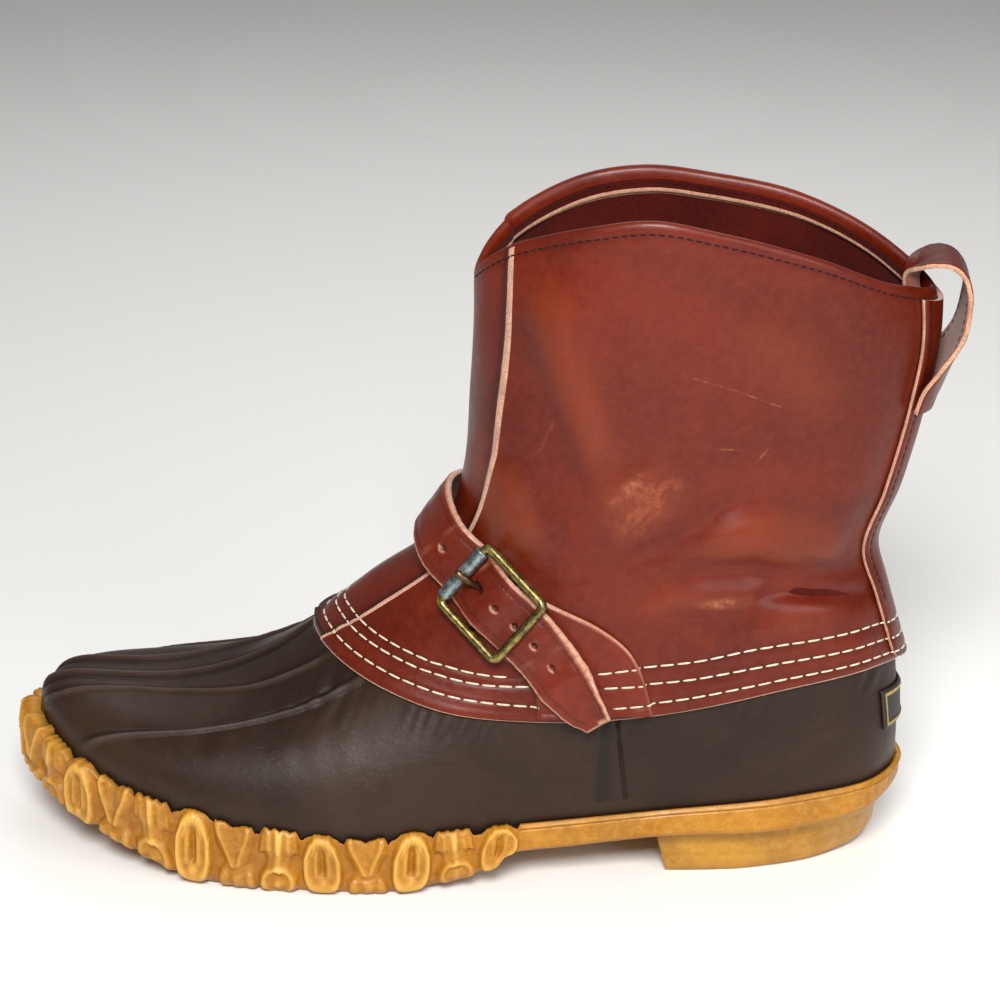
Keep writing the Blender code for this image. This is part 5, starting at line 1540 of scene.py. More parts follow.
def sole_columns():
    """Ring parameter and distance from the toe of each column, closer together over the lugs."""
    t_dense, along = dense_ring(FEATHER, 4320)
    middle = np.interp(STATIONS / 2, t_dense, along)
    count = int((LUGS_EACH_SIDE + 0.5) * COLUMNS_PER_LUG)
    over_lugs = (np.arange(count) + 1) / COLUMNS_PER_LUG * LUG_PITCH
    behind = np.linspace(over_lugs[-1] + 0.0012, middle - 0.001, PLAIN_COLUMNS)
    side = np.concatenate([over_lugs, behind])
    lateral = np.interp(side, along, t_dense)
    medial = np.interp(along[-1] - side[::-1], along, t_dense)
    t = np.concatenate([[0.0], lateral, [STATIONS / 2], medial])
    return t, np.concatenate([[0.0], side, [middle], side[::-1]])


def lug_pattern(s):
    """At each column: the lug's kind, the place across it, its lean, its growth, and 1 where
    there are lugs."""
    index = np.round(s / LUG_PITCH)
    number = np.clip(index, 0, LUGS_EACH_SIDE).astype(int)
    side_turn = np.where(np.arange(len(s)) < len(s) / 2, 0.0, 2.0)
    grown = np.sin(number * 2.4 + side_turn)
    tilt = 0.09 * np.sin(number * 3.7 + 1.0 + side_turn)
    lugged = smoothstep((LUGS_EACH_SIDE + 0.5) * LUG_PITCH - s, 0.0, 0.0012)
    return np.array(LUG_KINDS)[number], s / LUG_PITCH - index, tilt, grown, lugged


def sole_side(t, s):
    """Rings of the band with its lugs, from the ground up and in to the foot bed, and its masks."""
    feather = ring_at(FEATHER, t)
    out = plan_normals(feather)
    for _ in range(2):
        out = unit((np.roll(out, 1, axis=0) + out * 2 + np.roll(out, -1, axis=0)))
    below, side_out = (smooth_at(SOLE_OUTSETS, t) * HALF_WIDTH).T
    floor = underside_height((feather + out * below[:, None])[:, 0])
    kinds, phase, tilt, grown, lugged = lug_pattern(s)
    crest = np.zeros(len(t))
    for kind in LUG_SHAPES:
        here = kinds == kind
        crest[here] = lug_crest(phase[here] + tilt[here] * 0.5, kind)
    rings, recess_shade, raised, low = [], [], [], []
    for h in np.linspace(0, 1, SOLE_ROWS):
        side_share = np.interp(h, (0.0, 0.05, 0.16, 1.0), (0.10, 0.62, 1.0, 1.0))
        lug_share = np.interp(h, (0.0, 0.10, 0.50, 0.82, 0.95, 1.0), (0.50, 1.0, 1.02, 0.95, 0.70, 0.30))
        relief = np.zeros(len(t))
        for kind in LUG_SHAPES:
            here = kinds == kind
            relief[here] = lug_relief((phase + tilt * (h - 0.5))[here], h, kind)
        relief = relief * (1 + 0.10 * grown) + 0.02 * wobble(s + h * 0.02, 2.0, 0.004)
        top_band = 0.0006 * bell(h - 0.90, 0.05) - 0.0004 * bell(h - 0.80, 0.03)
        outset = below + (side_out - below) * side_share
        outset = outset + LUG_PROUD * lug_share * relief * lugged + top_band * (1 - lugged)
        ragged = (0.00030 * wobble(s, 7.0, 0.0035) + 0.0007 * grown + 0.0004) * lugged
        top = feather[:, 2] - crest * lugged + ragged
        ring = feather + out * outset[:, None]
        ring[:, 2] = floor + (top - floor) * h
        rings.append(ring)
        # Painted shade between the lugs, and a painted highlight on their tops
        recess_shade.append((1 - np.clip(relief * 1.35, 0, 1)) * lugged * 0.85)
        raised.append(np.clip(relief - 0.72, 0, 1) * 2.2 * lugged)
        low.append(np.full(len(t), smoothstep(0.22 - h, 0.0, 0.2)))
    rim = feather + out * 0.0004
    rim[:, 2] = rings[-1][:, 2] - 0.0002
    bed = feather - out * (FOOT_INSET - SOLE_GAP)
    bed[:, 2] = bed_height(bed[:, 0])
    ends = [np.full(len(t), 0.3), np.zeros(len(t))]
    marks = {"recess_shade": recess_shade + ends, "raised": raised + ends, "low": low + ends}
    return rings + [rim, bed], {label: np.concatenate(rows) for label, rows in marks.items()}


def sole_under(edge):
    """Rings of the tread, from the band's lower edge in to the middle line."""
    rings = []
    for k in range(1, TREAD_STEPS):
        ring = edge.copy()
        ring[:, 1] = edge[:, 1] * (1 - (k / TREAD_STEPS))
        ring[:, 2] = underside_height(ring[:, 0]) + tread_relief(ring) * smoothstep(k, 1.0, 3.0)
        rings.append(ring)
    return np.concatenate(rings)


def sole_piece(amber):
    """Band with a chain of lugs round the toe, and the tread below."""
    rings, marks = sole_side(*sole_columns())
    rows, columns = len(rings), len(rings[0])
    count = rows * columns
    under = sole_under(rings[0])
    lattice = grid_faces(TREAD_STEPS, columns, wrap=True)[:, ::-1]
    number = np.concatenate([np.arange(columns), count + np.arange(len(under))])
    faces = [tuple(f) for f in grid_faces(rows, columns, wrap=True)]
    faces += [tuple(f) for f in number[lattice]]
    faces += cap_faces(count + len(under) - columns, columns)
    faces += cap_faces((rows - 1) * columns, columns, flip=True)
    # Painted shade in the tread's grooves
    below = {
        "recess_shade": np.clip(tread_relief(under) / 0.0016, 0, 1),
        "raised": np.zeros(len(under)),
        "low": np.full(len(under), 0.8),
    }
    marks = {label: np.concatenate([values, below[label]]) for label, values in marks.items()}
    piece("lugged_sole", np.concatenate(rings + [under]), faces, [amber],
          ["outsole"], marks)


def tread_relief(points):
    """Depth of the grooves between the chain links of the tread, up into the sole."""
    x, y, _ = np.moveaxis(points / MM, -1, 0)
    u = x / (LUG_PITCH / MM)
    lane = np.round(y / (LANE_WIDTH / MM))
    v = y / (LANE_WIDTH / MM) - lane
    f = (u + 0.5 * (lane % 2)) % 1.0 - 0.5
    link = bell(np.hypot(f / 0.40, v / 0.42) - 0.85, 0.26)
    start, full = np.array(TREAD_START) / MM
    return GROOVE_DEPTH * (1 - np.clip(link, 0, 1)) * smoothstep(x, start, full)


HEEL_CORNER = 0.0025
HEEL_MIDDLE = (0.045, 0.0)
# Heights of the heel's rings as shares of its height
HEEL_LEVELS = np.concatenate([[0.0, 0.01, 0.03, 0.06], np.linspace(0.1, 0.94, 22), [0.97, 1.0]])


def heel_piece(rubber):
    """Heel block with rounded edges, a worn back corner and two grooves round its sides."""
    rows = np.array(HEEL_BLOCK) * (FOOT_LENGTH, HALF_WIDTH, FOOT_LENGTH, HALF_WIDTH)

    def outline(level):
        x, y = rows[:, 2 * level], rows[:, 2 * level + 1]
        t = np.linspace(0, len(x) - 1, 90)
        curve = curve_at(np.column_stack([x, y, np.zeros(len(x))]), t, False)[:, :2]
        front_y = np.linspace(0, 1, 16)[:-1] * (curve[0, 1] - HEEL_CORNER)
        front = np.stack([np.full(len(front_y), curve[0, 0]), front_y], 1)
        curve[0] -= (HEEL_CORNER * 0.3, HEEL_CORNER * 0.15)
        half = np.concatenate([front, curve])
        return np.concatenate([half, half[-2:0:-1] * (1, -1)])

    low, high = outline(0), outline(1)
    columns = len(low)
    rings, recess_shade, low_mask = [], [], []
    top_z = underside_height(high[:, 0]) - 0.0002
    for h in HEEL_LEVELS:
        flat = low + (high - low) * h
        inward = unit(flat - HEEL_MIDDLE)
        round_off = 0.0012 * (1 - smoothstep(h, 0.0, 0.06)) + 0.0010 * smoothstep(h, 0.95, 1.0)
        layer = 0.00030 * bell(h - 0.36, 0.02) + 0.0003 * bell(h - 0.68, 0.02)
        flat = flat - inward * (round_off + layer)
        worn = 0.0035 * smoothstep(0.030 - flat[:, 0], 0.0, 0.03) * (1 - smoothstep(h, 0.0, 0.25))
        ring = np.column_stack([flat, top_z * h + worn * (h < 1)])
        rings.append(ring)
        # Painted shade in the two grooves round the sides and along the top edge under the sole
        recess_shade.append(np.full(columns, layer / 0.0003 * 0.5 + 0.8 * smoothstep(h, 0.93, 1.0)))
        low_mask.append(np.full(columns, smoothstep(0.25 - h, 0.0, 0.25)))
    count = len(rings)
    points = np.concatenate(rings)
    faces = [tuple(f) for f in grid_faces(count, columns, wrap=True)]
    faces += cap_faces(0, columns, flip=True) + cap_faces((count - 1) * columns, columns)
    marks = {"recess_shade": np.concatenate(recess_shade), "low": np.concatenate(low_mask),
             "raised": np.zeros(len(points))}
    piece("heel_block", points, faces, [rubber], ["heel"], marks)


# Edge of the insole from below: how far in from its outline, and height over the bed
INSOLE_EDGE = ((0.0, 0.0), (-0.0001, 0.0016), (0.0004, 0.0032), (0.0016, INSOLE_THICKNESS))
INSOLE_INSET = 0.0010
INSOLE_STEPS = 14


def insole_piece(inner, felt):
    """Pad on the foot bed with a soft edge and the dents of a foot."""
    base = inner[0] - plan_normals(inner[0]) * INSOLE_INSET
    rings = []
    for inset, lift in INSOLE_EDGE:
        ring = base - plan_normals(base) * inset
        ring[:, 2] = bed_height(ring[:, 0]) + INSOLE_GAP + lift
        rings.append(ring)
    top = rings[-1]
    for k in range(1, INSOLE_STEPS):
        ring = top.copy()
        ring[:, 1] = top[:, 1] * (1 - k / INSOLE_STEPS)
        dent = 0.0007 * bell(ring[:, 0] - 0.040, 0.030) + 0.0005 * bell(ring[:, 0] - 0.200, 0.035)
        dent = dent * smoothstep(k / INSOLE_STEPS, 0.1, 0.6)
        ring[:, 2] = bed_height(ring[:, 0]) + INSOLE_GAP + INSOLE_THICKNESS - dent
        rings.append(ring)
    rows, columns = len(rings), len(base)
    faces = [tuple(f) for f in grid_faces(rows, columns, wrap=True)]
    faces += cap_faces((rows - 1) * columns, columns) + cap_faces(0, columns)
    piece("insole_pad", np.concatenate(rings), faces, [felt], ["insole"])


# Strap, anchor and buckle

STRAP_FINE = 380
STRAP_ACROSS = 51
# Holes of the strap: distance from the buckle's middle along the strap, metres
HOLES = (-0.0270, 0.0020, 0.0106, 0.0196, 0.0288)
HOLE_RADIUS = 0.0011
TOOLED_LINE = 0.0030
# Rise of the torn upper corner of the loose end, and how far back it starts
TAIL_CURL = 0.0050
CURL_REACH = 0.0190
# How far the curl draws that corner in, and where along the strap its upper edge starts to be torn
TAIL_PULL = 0.0032
TORN_FROM = (0.012, 0.032)
# Creases across the strap: distance from the buckle's middle and depth
STRAP_CREASES = ((-0.030, 0.5), (-0.012, 0.8), (0.014, 0.5), (0.024, 0.3))
ANCHOR_STEPS = 70
ANCHOR_ACROSS = 37


def strap_lines(trees):
    """Side lines, middle line and outward directions of the strap, clear of what it lies on."""
    rows = strap_rows(trees[0])
    t = np.linspace(0, len(rows) - 1, STRAP_STEPS)
    middle = curve_at([r[0] for r in rows], t, False)
    width = unit(curve_at([r[1] for r in rows], t, False))
    share = np.interp(t, np.arange(len(rows)), [r[2] for r in rows])
    along = unit(np.gradient(middle, axis=0))
    width = unit(width - along * np.sum(width * along, axis=1, keepdims=True))
    out = unit(np.cross(along, -width))
    half = width * STRAP_WIDTH / 2 * share[:, None]
    grid = middle[:, None] + half[:, None] * np.array(ACROSS)[None, :, None]
    pushed = np.zeros(STRAP_STEPS)
    for k in range(STRAP_STEPS):
        for point in grid[k] - out[k] * STRAP_THICKNESS / 2:
            for tree in trees:
                start = Vector(point + out[k] * STRAP_WIDTH)
                hit = tree.ray_cast(start, Vector(-out[k]), 2 * STRAP_WIDTH)
                if hit[0] is not None:
                    pushed[k] = max(pushed[k], PATCH_GAP - (hit[3] - STRAP_WIDTH))
    soft = np.convolve(np.pad(pushed, 2, "edge"), (0.1, 0.2, 0.4, 0.2, 0.1), "valid")
    grid += out[:, None] * np.maximum(soft, pushed)[:, None, None]
    fine = np.linspace(0, STRAP_STEPS - 1, STRAP_FINE)
    left, middle, right = (curve_at(grid[:, c], fine, False) for c in (0, 2, 4))
    return left, middle, right, unit(curve_at(out, fine, False))


def strap_holes(place, offset):
    """Masks of the strap's holes and the prong's slot, and of the pale rim beside each hole."""
    hole, crescent = np.zeros(offset.shape), np.zeros(offset.shape)
    for k, at in enumerate(HOLES):
        gap = np.hypot(place[:, None] - at, offset * (1.0 + 0.1 * k))
        hole = np.maximum(hole, 1 - smoothstep(gap, HOLE_RADIUS * 0.75, HOLE_RADIUS * 1.15))
        ring = bell(gap - HOLE_RADIUS * 1.35, 0.0004)
        crescent = np.maximum(crescent, ring * smoothstep(offset, 0.0, 0.001))
    start, stop = np.array(PRONG_SLOT) * BUCKLE_LENGTH / 2
    gap = np.maximum(np.abs(place[:, None] - (start + stop) / 2) - (stop - start) / 2, 0)
    slot = 1 - smoothstep(np.hypot(gap, offset), HOLE_RADIUS * 0.7, HOLE_RADIUS * 1.2)
    return np.maximum(hole, slot), crescent


def strap_piece(trees, leather, raw, flesh):
    """The strap from its sewn medial end through the buckle to its curled loose end."""
    left, centre, right, out = strap_lines(trees)
    f = np.linspace(0, 1, STRAP_ACROSS)
    flat = left[:, None] * (1 - f)[None, :, None] + right[:, None] * f[None, :, None]
    base, _, _, away = buckle_frame_axes(trees[0])
    place = arc_length(centre)
    place = place - place[np.argmin(np.linalg.norm(centre - (base + away * BUCKLE_HEIGHT), axis=1))]
    wide = np.linalg.norm(right - left, axis=1)
    offset = (f - 0.5)[None, :] * wide[:, None]
    edge = wide[:, None] / 2 - np.abs(offset)
    end = np.minimum(place - place[0], place[-1] - place)[:, None]
    rim = np.minimum(edge, end)
    hole, crescent = strap_holes(place, offset)
    dots = 0.62 + 0.38 * np.sin(place * 2 * math.pi / 0.0016)[:, None]
    groove = bell(edge - TOOLED_LINE, 0.00042) * smoothstep(end, 0.0, 0.004) * dots
    crease = np.zeros_like(edge)
    for at, deep in STRAP_CREASES:
        crease += deep * bell(place[:, None] - at + 0.15 * offset, 0.0009)
    rounded = 0.00055 * (1 - smoothstep(rim, 0.0, 0.0011))
    turned = smoothstep(place, place[-1] - CURL_REACH, place[-1] - 0.002)[:, None]
    upper_side = np.clip(-offset / (STRAP_WIDTH / 2), 0, 1)
    lift = TAIL_CURL * turned * upper_side**1.6
    belly = 0.00020 * bell(edge - 0.0065, 0.0035)
    uneven = 0.00012 * wobble(place[:, None] + 0.3 * offset, 4.0, 0.017)
    ragged = 0.00012 * wobble(place, 9.0, 0.0045)[:, None] * np.sign(offset)
    ragged = ragged * (1 - smoothstep(rim, 0, 0.002))
    side = unit(right - left)[:, None]
    flat = flat + side * (ragged + TAIL_PULL * turned * upper_side**2)[..., None]
    top = STRAP_THICKNESS / 2 - rounded - 0.00030 * groove - 0.0013 * hole - 0.00012 * crease + belly
    outer = flat + out[:, None] * (top + uneven + lift)[..., None]
    inner = flat + out[:, None] * (lift - STRAP_THICKNESS / 2)[..., None]
    fibre = 0.5 + 0.5 * wobble(place, 6.0, 0.003)[:, None]
    torn = smoothstep(place, *TORN_FROM)[:, None] * (offset < 0)
    bare = np.where(offset < 0, 0.0013, 0.0010) + 0.0014 * torn * (0.75 + 0.5 * fibre)
    pale = (1 - smoothstep(rim, 0.0003, bare)) * (0.65 + 0.35 * fibre)
    pale = np.clip(pale + 0.7 * crescent + 0.25 * crease * bell(edge - 0.004, 0.003), 0, 1)
    # The recess mask paints shade into the tooled groove and the holes
    marks = {"recess_shade": np.clip(0.85 * groove + 1.2 * hole, 0, 1), "pale": pale}
    return tree_of(*slab("strap_leather", outer, inner, [leather, raw, flesh],
                         ["strap"], marks, under=2))


def anchor_piece(tree, leather):
    """The piece that holds the buckle, sewn down to the leather's lower edge."""
    scale = np.array([FOOT_LENGTH, SHAFT_HEIGHT])
    table = np.array(ANCHOR_ROWS)
    t = np.linspace(0, len(table) - 1, ANCHOR_STEPS)
    rows = curve_at(np.column_stack([table, np.zeros(len(table))]), t, False)
    near, out = [], []
    for row in rows:
        front, back = row[:2] * scale, row[2:4] * scale
        line, normals = [], []
        for f in np.linspace(0, 1, ANCHOR_ACROSS):
            x, z = front + (back - front) * f
            point, normal = smooth_on_side(tree, x, z, 1)
            line.append(point)
            normals.append(normal)
        near.append(line)
        out.append(normals)
    near, out = np.array(near), np.array(out)
    for _ in range(3):
        out[1:-1] = unit(out[:-2] + 2 * out[1:-1] + out[2:])
        out[:, 1:-1] = unit(out[:, :-2] + 2 * out[:, 1:-1] + out[:, 2:])
    wide = np.linalg.norm(near[:, -1] - near[:, 0], axis=1)[:, None]
    f = np.linspace(0, 1, ANCHOR_ACROSS)[None, :]
    edge = np.minimum(f, 1 - f) * wide
    thick = ANCHOR_THICKNESS * (0.70 + 0.30 * smoothstep(edge, 0.0, 0.0011))
    wave = 0.0002 * wobble(np.linspace(0, 0.04, ANCHOR_STEPS)[:, None] + f * 0.01, 2.0, 0.015)
    outer = near + out * (PATCH_GAP + thick + wave)[..., None]
    inner = near + out * PATCH_GAP
    down = np.linspace(0, 1, len(near))[:, None]
    strong = np.where(f < 0.5, 0.10, 1 - 0.75 * smoothstep(down, 0.50, 0.78))
    pale = (1 - smoothstep(edge, 0.0003, 0.0010)) * strong
    points, faces = slab("strap_anchor_leather", outer, inner, [leather, leather],
                         ["strap_anchor"], {"pale": pale})
    return tree_of(points, faces)


# Roller: places along it as shares of its length, and its thickness there
ROLLER_OUTLINE = (
    (-0.5, 0.86), (-0.492, 0.95), (-0.478, 0.99), (-0.45, 1.0), (-0.2, 1.0), (0.2, 1.0), (0.45, 1.0),
    (0.478, 0.99), (0.492, 0.95), (0.5, 0.86),
)


def tube(name, rings, look, nodes=(), closed=False):
    rows, columns = rings.shape[:2]
    faces = [tuple(f) for f in grid_faces(rows, columns, wrap=True, close=closed)]
    if not closed:
        faces.append(tuple(range(columns)))
        faces.append(tuple((rows - 1) * columns + c for c in range(columns)))
    return piece(name, rings.reshape(-1, 3), faces, [look], nodes)


def frame_outline():
    """Outline of the buckle's frame as distances along and across from its middle."""
    half_l = (BUCKLE_LENGTH - BUCKLE_BAR) / 2
    half_w = (BUCKLE_WIDTH - BUCKLE_BAR) / 2
    path = []
    corners = ((1, -1), (1, 1), (-1, 1), (-1, -1))
    for k, (sa, sb) in enumerate(corners):
        for turn in np.linspace(0.0, math.pi / 2, 9):
            one, two = math.sin(turn), math.cos(turn)
            da, db = (one, two) if sa * sb < 0 else (two, one)
            a = sa * (half_l - BUCKLE_CORNER + BUCKLE_CORNER * da)
            b = sb * (half_w - BUCKLE_CORNER + BUCKLE_CORNER * db)
            path.append((a, b))
        ta, tb = corners[(k + 1) % 4]
        end = np.array(path[-1])
        goal_a = ta * (half_l - (BUCKLE_CORNER if ta != sa else 0.0))
        goal_b = tb * (half_w - (BUCKLE_CORNER if tb != sb else 0.0))
        for f in np.linspace(0, 1, 16)[1:-1]:
            path.append(tuple(end + (np.array([goal_a, goal_b]) - end) * f))
    path = np.array(path)
    on_roller = (path[:, 0] < -half_l + 1e-5) & (np.abs(path[:, 1]) < half_w - BUCKLE_CORNER)
    return path, on_roller, half_l, half_w


def buckle_pieces(tree, brass, zinc, prong_look):
    """Frame with its centre bar, roller on the frame's far end, and prong with its loop."""
    base, along, across, out = buckle_frame_axes(tree)
    middle = base + out * BUCKLE_HEIGHT
    path, on_roller, half_l, half_w = frame_outline()
    size = np.where(on_roller, ROLLER_BAR / 2, BUCKLE_BAR / 2)
    size = size * (1 + 0.04 * wobble(np.arange(len(path)) * 0.001, 3.0, 0.012))
    places = middle + along * path[:, :1] + across * path[:, 1:]
    tube("buckle_frame_brass", rod(places, size, 20, True, out), brass, ["buckle_frame"], True)
    centre = base + out * CENTRE_BAR_HEIGHT
    bend = half_w - CENTRE_BAR / 2
    knots = [middle - across * half_w, centre - across * bend, centre]
    knots += [centre + across * bend, middle + across * half_w]
    bar = curve_at(knots, np.linspace(0, len(knots) - 1, 40), False)
    tube("buckle_centre_bar", rod(bar, CENTRE_BAR / 2, 16, False, out), brass)
    share, slim = np.array(ROLLER_OUTLINE).T
    line = middle - along * half_l + across * (share * ROLLER_LENGTH)[:, None]
    outside = rod(line, ROLLER_OUTSIDE / 2 * slim, 40, False, out)
    bore = rod(line, ROLLER_BORE / 2, 40, False, out)
    rings = np.concatenate([outside, bore[::-1]])
    tube("buckle_roller_zinc", rings, zinc, ["buckle_roller"], True)
    knots = [base + along * a * BUCKLE_LENGTH / 2 + out * h * BUCKLE_HEIGHT for a, h in PRONG_PATH]
    bar = curve_at(knots, np.linspace(0, len(knots) - 1, 60), False)
    tip = np.linspace(0, 1, 60)
    rounded_tip = np.sqrt(np.clip(1 - smoothstep(tip, 0.95, 1.0) * 0.92, 0.05, 1))
    wide = PRONG_THICKNESS / 2 * (1.05 + 0.40 * smoothstep(tip, 0.45, 0.9)) * rounded_tip
    tube("buckle_prong_dark", rod(bar, wide, 16, False, across), prong_look, ["buckle_prong"])
    turn = np.linspace(0, 2 * math.pi, 30)[:-1, None]
    reach = CENTRE_BAR / 2 + PRONG_THICKNESS * 0.45
    hub = centre[None, :] + (along * np.cos(turn) + out * np.sin(turn)) * reach
    tube("buckle_prong_loop", rod(hub, PRONG_THICKNESS * 0.42, 12, True, across), prong_look,
         (), True)


# Seams

SEAM_LENGTH = 0.0049
SEAM_GAP = 0.0006
SEAM_RADIUS = 0.00034
FINE_LENGTH = 0.0022
FINE_GAP = 0.0007
FINE_RADIUS = 0.00028
INNER_COLLAR_SEAM = 0.0056
STAY_SEAM_START = 0.022
PATH_STEP = 0.0008


def cast_runs(path, normals, trees, blocking=None):
    """The path laid on the outermost surface under it, broken where something covers it."""
    reach = 0.010
    runs, points, outs = [], [], []
    for p, n in zip(path, normals):
        start = Vector(p + n * reach)
        best, normal = None, None
        for tree in trees:
            hit = tree.ray_cast(start, Vector(-n), 2 * reach)
            if hit[0] is not None and (best is None or hit[3] < best):
                best, normal = hit[3], np.array(hit[1])
        covered = False
        if blocking is not None and best is not None:
            for side in (-0.0006, 0.0, 0.0006):
                hit = blocking.ray_cast(start + Vector((side, 0, 0)), Vector(-n), 2 * reach)
                covered = covered or (hit[0] is not None and hit[3] < best)
        if best is None or covered:
            if len(points) > 3:
                runs.append((np.array(points), np.array(outs)))
            points, outs = [], []
            continue
        if np.dot(normal, n) < 0:
            normal = -normal
        points.append(p + n * (reach - best))
        outs.append(unit(0.5 * normal + 0.5 * n))
    if len(points) > 3:
        runs.append((np.array(points), np.array(outs)))
    return runs


def dense_path(points, normals, step):
    along = arc_length(points)
    s = np.arange(0, along[-1], step)
    return along_line(s, along, points), unit(along_line(s, along, normals))


def ring_path(field, distance, depth=0.0):
    """Closed path round the leather at a distance from its lower edge, sunk by depth."""
    points, normals = sample(field, distance[None, :])
    ring, outs = points[0] - normals[0] * depth, normals[0]
    return dense_path(np.concatenate([ring, ring[:1]]), np.concatenate([outs, outs[:1]]), PATH_STEP)


def fine_stitches(name, runs, look):
    stitches(name, runs, look, FINE_LENGTH, FINE_GAP, FINE_RADIUS)


def rubber_rows(field, trees, strap_tree, cream):
    """The three rows round the leather's edge, broken where the strap covers them."""
    runs = []
    for row in STITCH_ROWS:
        path, outs = ring_path(field, stitch_distance(field, row))
        runs += cast_runs(path, outs, trees, strap_tree)
    stitches("seam_over_rubber", runs, cream, SEAM_LENGTH, SEAM_GAP, SEAM_RADIUS)


def collar_rows(field, tree, dark):
    """One row below the collar's edge, and one inside over the folded leather."""
    whole = field[1][:, -1]
    path, outs = ring_path(field, whole - COLLAR_SEAM)
    fine_stitches("collar_seam_outside", cast_runs(path, outs, [tree]), dark)
    path, outs = ring_path(field, whole - INNER_COLLAR_SEAM, COLLAR_FOLD_WALL + 0.00005)
    fine_stitches("collar_seam_inside", [(path, -outs)], dark)


def stay_rows(stay, loop_runs, dark):
    """Rows down both sides of the back stay, and those of the loop's lower end."""
    far, normals, across, distance = stay
    runs = []
    for side in (-1, 1):
        column = int(np.argmin(np.abs(across - side * (STAY_HALF_WIDTH - STAY_SEAM))))
        keep = distance[:, column] > STAY_SEAM_START
        runs.append((far[keep, column], normals[keep, column]))
    fine_stitches("stay_and_loop_seams", runs + loop_runs, dark)


# Stage

CAMERA_DISTANCE = 0.878
CAMERA_PITCH = 21.6
CAMERA_TURN = -2.3
CAMERA_TARGET = (0.1373, -0.0050, 0.1204)
CAMERA_LENS = 93.6
FLOOR_SIZE = 7.0
WORLD_STRENGTH = 0.25
# Softboxes: name, place in the heel's frame, width and height in metres, and watts
SOFTBOXES = (
    ("key softbox", (0.14, 1.0, 0.95), (0.45, 0.4), 22),
    ("fill softbox", (-0.75, 0.75, 0.65), (0.7, 0.7), 6),
    ("back softbox", (0.05, -0.85, 1.00), (1.0, 0.6), 4),
)
LIGHT_TARGET = (0.13, 0.0, 0.08)


def area_light(name, place, target, size, power):
    light = bpy.data.lights.new(name, "AREA")
    light.shape = "RECTANGLE"
    light.size, light.size_y = size
    light.energy = power
    made = placed(name, light)
    place, target = Vector(np.array(place) + SHIFT), Vector(np.array(target) + SHIFT)
    made.location = place
    made.rotation_euler = (target - place).to_track_quat("-Z", "Y").to_euler()


def stage():
    mesh = bpy.data.meshes.new("floor")
    half = FLOOR_SIZE / 2
    corners = [(-half, -half, 0), (half, -half, 0), (half, half, 0), (-half, half, 0)]
    mesh.from_pydata(corners, [], [(0, 1, 2, 3)])
    floor = placed("floor", mesh)
    pale = Look("pale floor", "efeeeb", 0.65)
    mesh.materials.append(pale.material)
    bpy.context.scene.view_settings.view_transform = "Standard"
    world = bpy.data.worlds.new("soft room")
    world.use_nodes = True
    background = world.node_tree.nodes["Background"]
    background.inputs["Color"].default_value = (1.0, 1.0, 1.0, 1.0)
    background.inputs["Strength"].default_value = WORLD_STRENGTH
    bpy.context.scene.world = world
    for name, place, size, power in SOFTBOXES:
        area_light(name, place, LIGHT_TARGET, size, power)
    camera = bpy.data.cameras.new("camera")
    camera.lens = CAMERA_LENS
    camera.sensor_width = 36.0
    made = placed("camera", camera)
    pitch, turn = math.radians(CAMERA_PITCH), math.radians(CAMERA_TURN)
    back = Vector((math.sin(turn) * math.cos(pitch), math.cos(turn) * math.cos(pitch), math.sin(pitch)))
    right = Vector((0, 0, 1)).cross(back).normalized()
    up = back.cross(right)
    place = Vector(np.array(CAMERA_TARGET) + SHIFT) + back * CAMERA_DISTANCE
    turned = Matrix((right, up, back)).transposed().to_4x4()
    made.matrix_world = Matrix.Translation(place) @ turned
    bpy.context.scene.camera = made


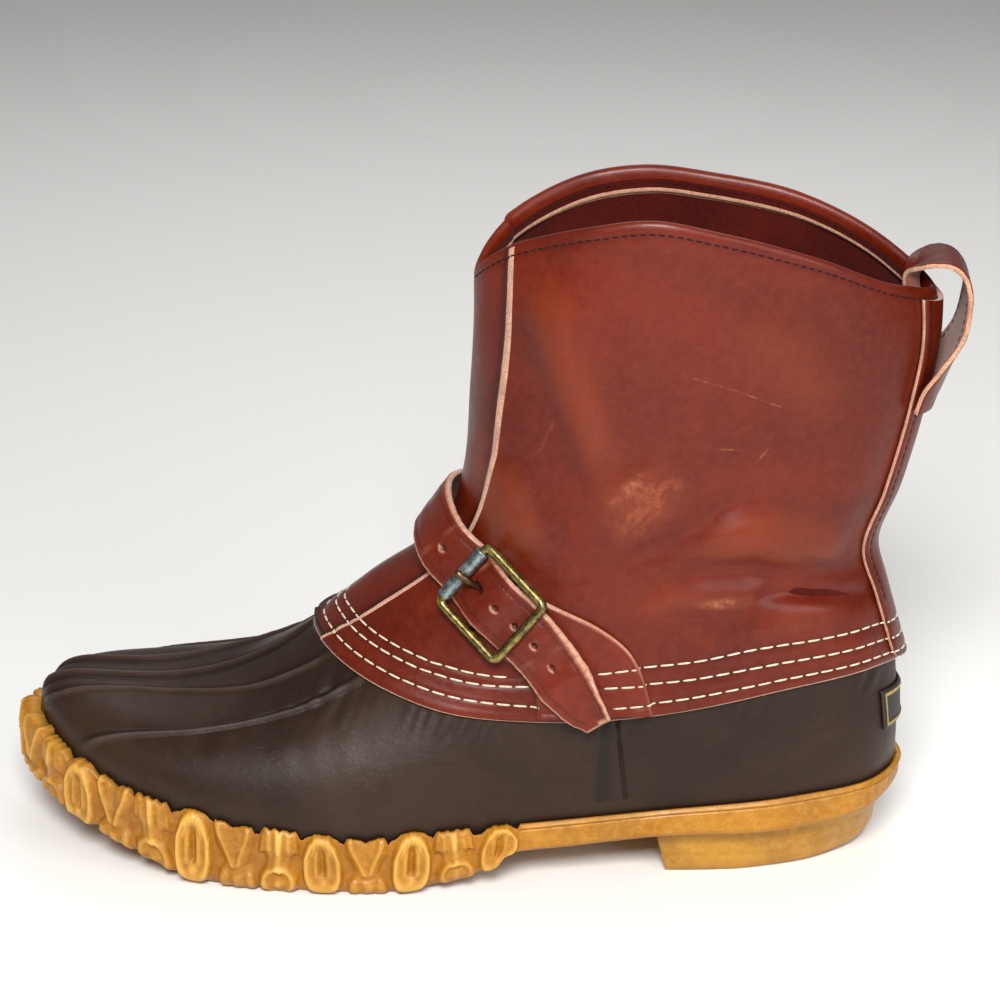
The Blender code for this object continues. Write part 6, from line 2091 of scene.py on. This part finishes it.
def main():
    leather = leather_look("reddish brown leather", "641804", "4b0e02", "8a3e1b", LEATHER_MARKS)
    strap_look = leather_look("strap leather", "6c1f0b", "521205", "93482a")
    raw = raw_edge_look("raw leather edge")
    flesh = raw_edge_look("flesh side of the strap", "b06a3e", "7d4426")
    inside = raw_edge_look("flesh side of the pull loop", "87401f", "5c220d")
    suede = suede_look()
    rubber = rubber_look()
    lining = patch_look("rubber lining", "2b221c", "1c1511")
    amber = amber_look("amber sole rubber", "a66c0a", "925c09", "e0ae52", 0.30)
    pale = amber_look("pale heel rubber", "ad7a1e", "946518", "c89c4e", 0.45)
    felt = felt_look()
    patch = patch_look("dark patch", "2a211b", "1b1410")
    outline = patch_look("yellowed outline", "b79a58", "8d7440")
    cream = thread_look("cream thread", "eadfc6", "b9a888")
    dark = thread_look("dark thread", "3a0e0a", "200604", 0.0)
    brass = metal_look("old brass", "9c8648", "524a28", "e6dcae", 0.27)
    zinc = metal_look("mottled zinc", "9fabab", "5c686c", "e4eae8", 0.34)
    prong_look = metal_look("dark brown prong", "6b543a", "3c2a1c", "a08a62", 0.34)
    field, tree = upper_piece(leather, raw, suede)
    inner = rubber_piece(rubber, lining)
    label_piece(patch, outline)
    sole_piece(amber)
    heel_piece(pale)
    insole_piece(inner, felt)
    stay = stay_piece(leather, raw)
    loop_runs = loop_piece(leather, raw, inside)
    anchor_tree = anchor_piece(tree, strap_look)
    strap_tree = strap_piece([tree, anchor_tree], strap_look, raw, flesh)
    buckle_pieces(tree, brass, zinc, prong_look)
    rubber_rows(field, [tree, tree_of_grid(stay[0]), anchor_tree], strap_tree, cream)
    collar_rows(field, tree, dark)
    stay_rows(stay, loop_runs, dark)
    stage()


# Worn places, and a darker band along the trough below the ankle bulge. Columns: middle and reach in
# millimetres, turn in degrees, share and colour.
LEATHER_MARKS = (
    ((89, 40, 136), (20, 40, 12), 42, 0.50, "9c5832"),
    ((95, 40, 141), (10, 40, 3), 48, 0.45, "bd855c"),
    ((118, 40, 160), (10, 40, 46), -8, 0.50, "6b1c0b"),
    ((62, 40, 101.5), (13, 40, 2.6), 0, 0.60, "b0714c"),
    # darker band along the trough below the ankle bulge
    ((60, 40, 112), (30, 40, 8), 0, 0.35, "5e1a0c"),
    ((69, 40, 176.8), (13, 40, 0.55), -18, 0.60, "a5634a"),
    ((52, 40, 170.4), (9, 40, 0.55), -23, 0.60, "a5634a"),
    ((63.5, 40, 154.7), (7, 40, 0.50), -3, 0.60, "b0714c"),
    ((52, 40, 152.4), (4.5, 40, 0.50), 49, 0.60, "b0714c"),
    ((121, 40, 156), (9, 40, 1.0), 67, 0.55, "a8563a"),
    ((60, -40, 128), (22, 40, 9), 10, 0.40, "8f4f38"),
)

main()
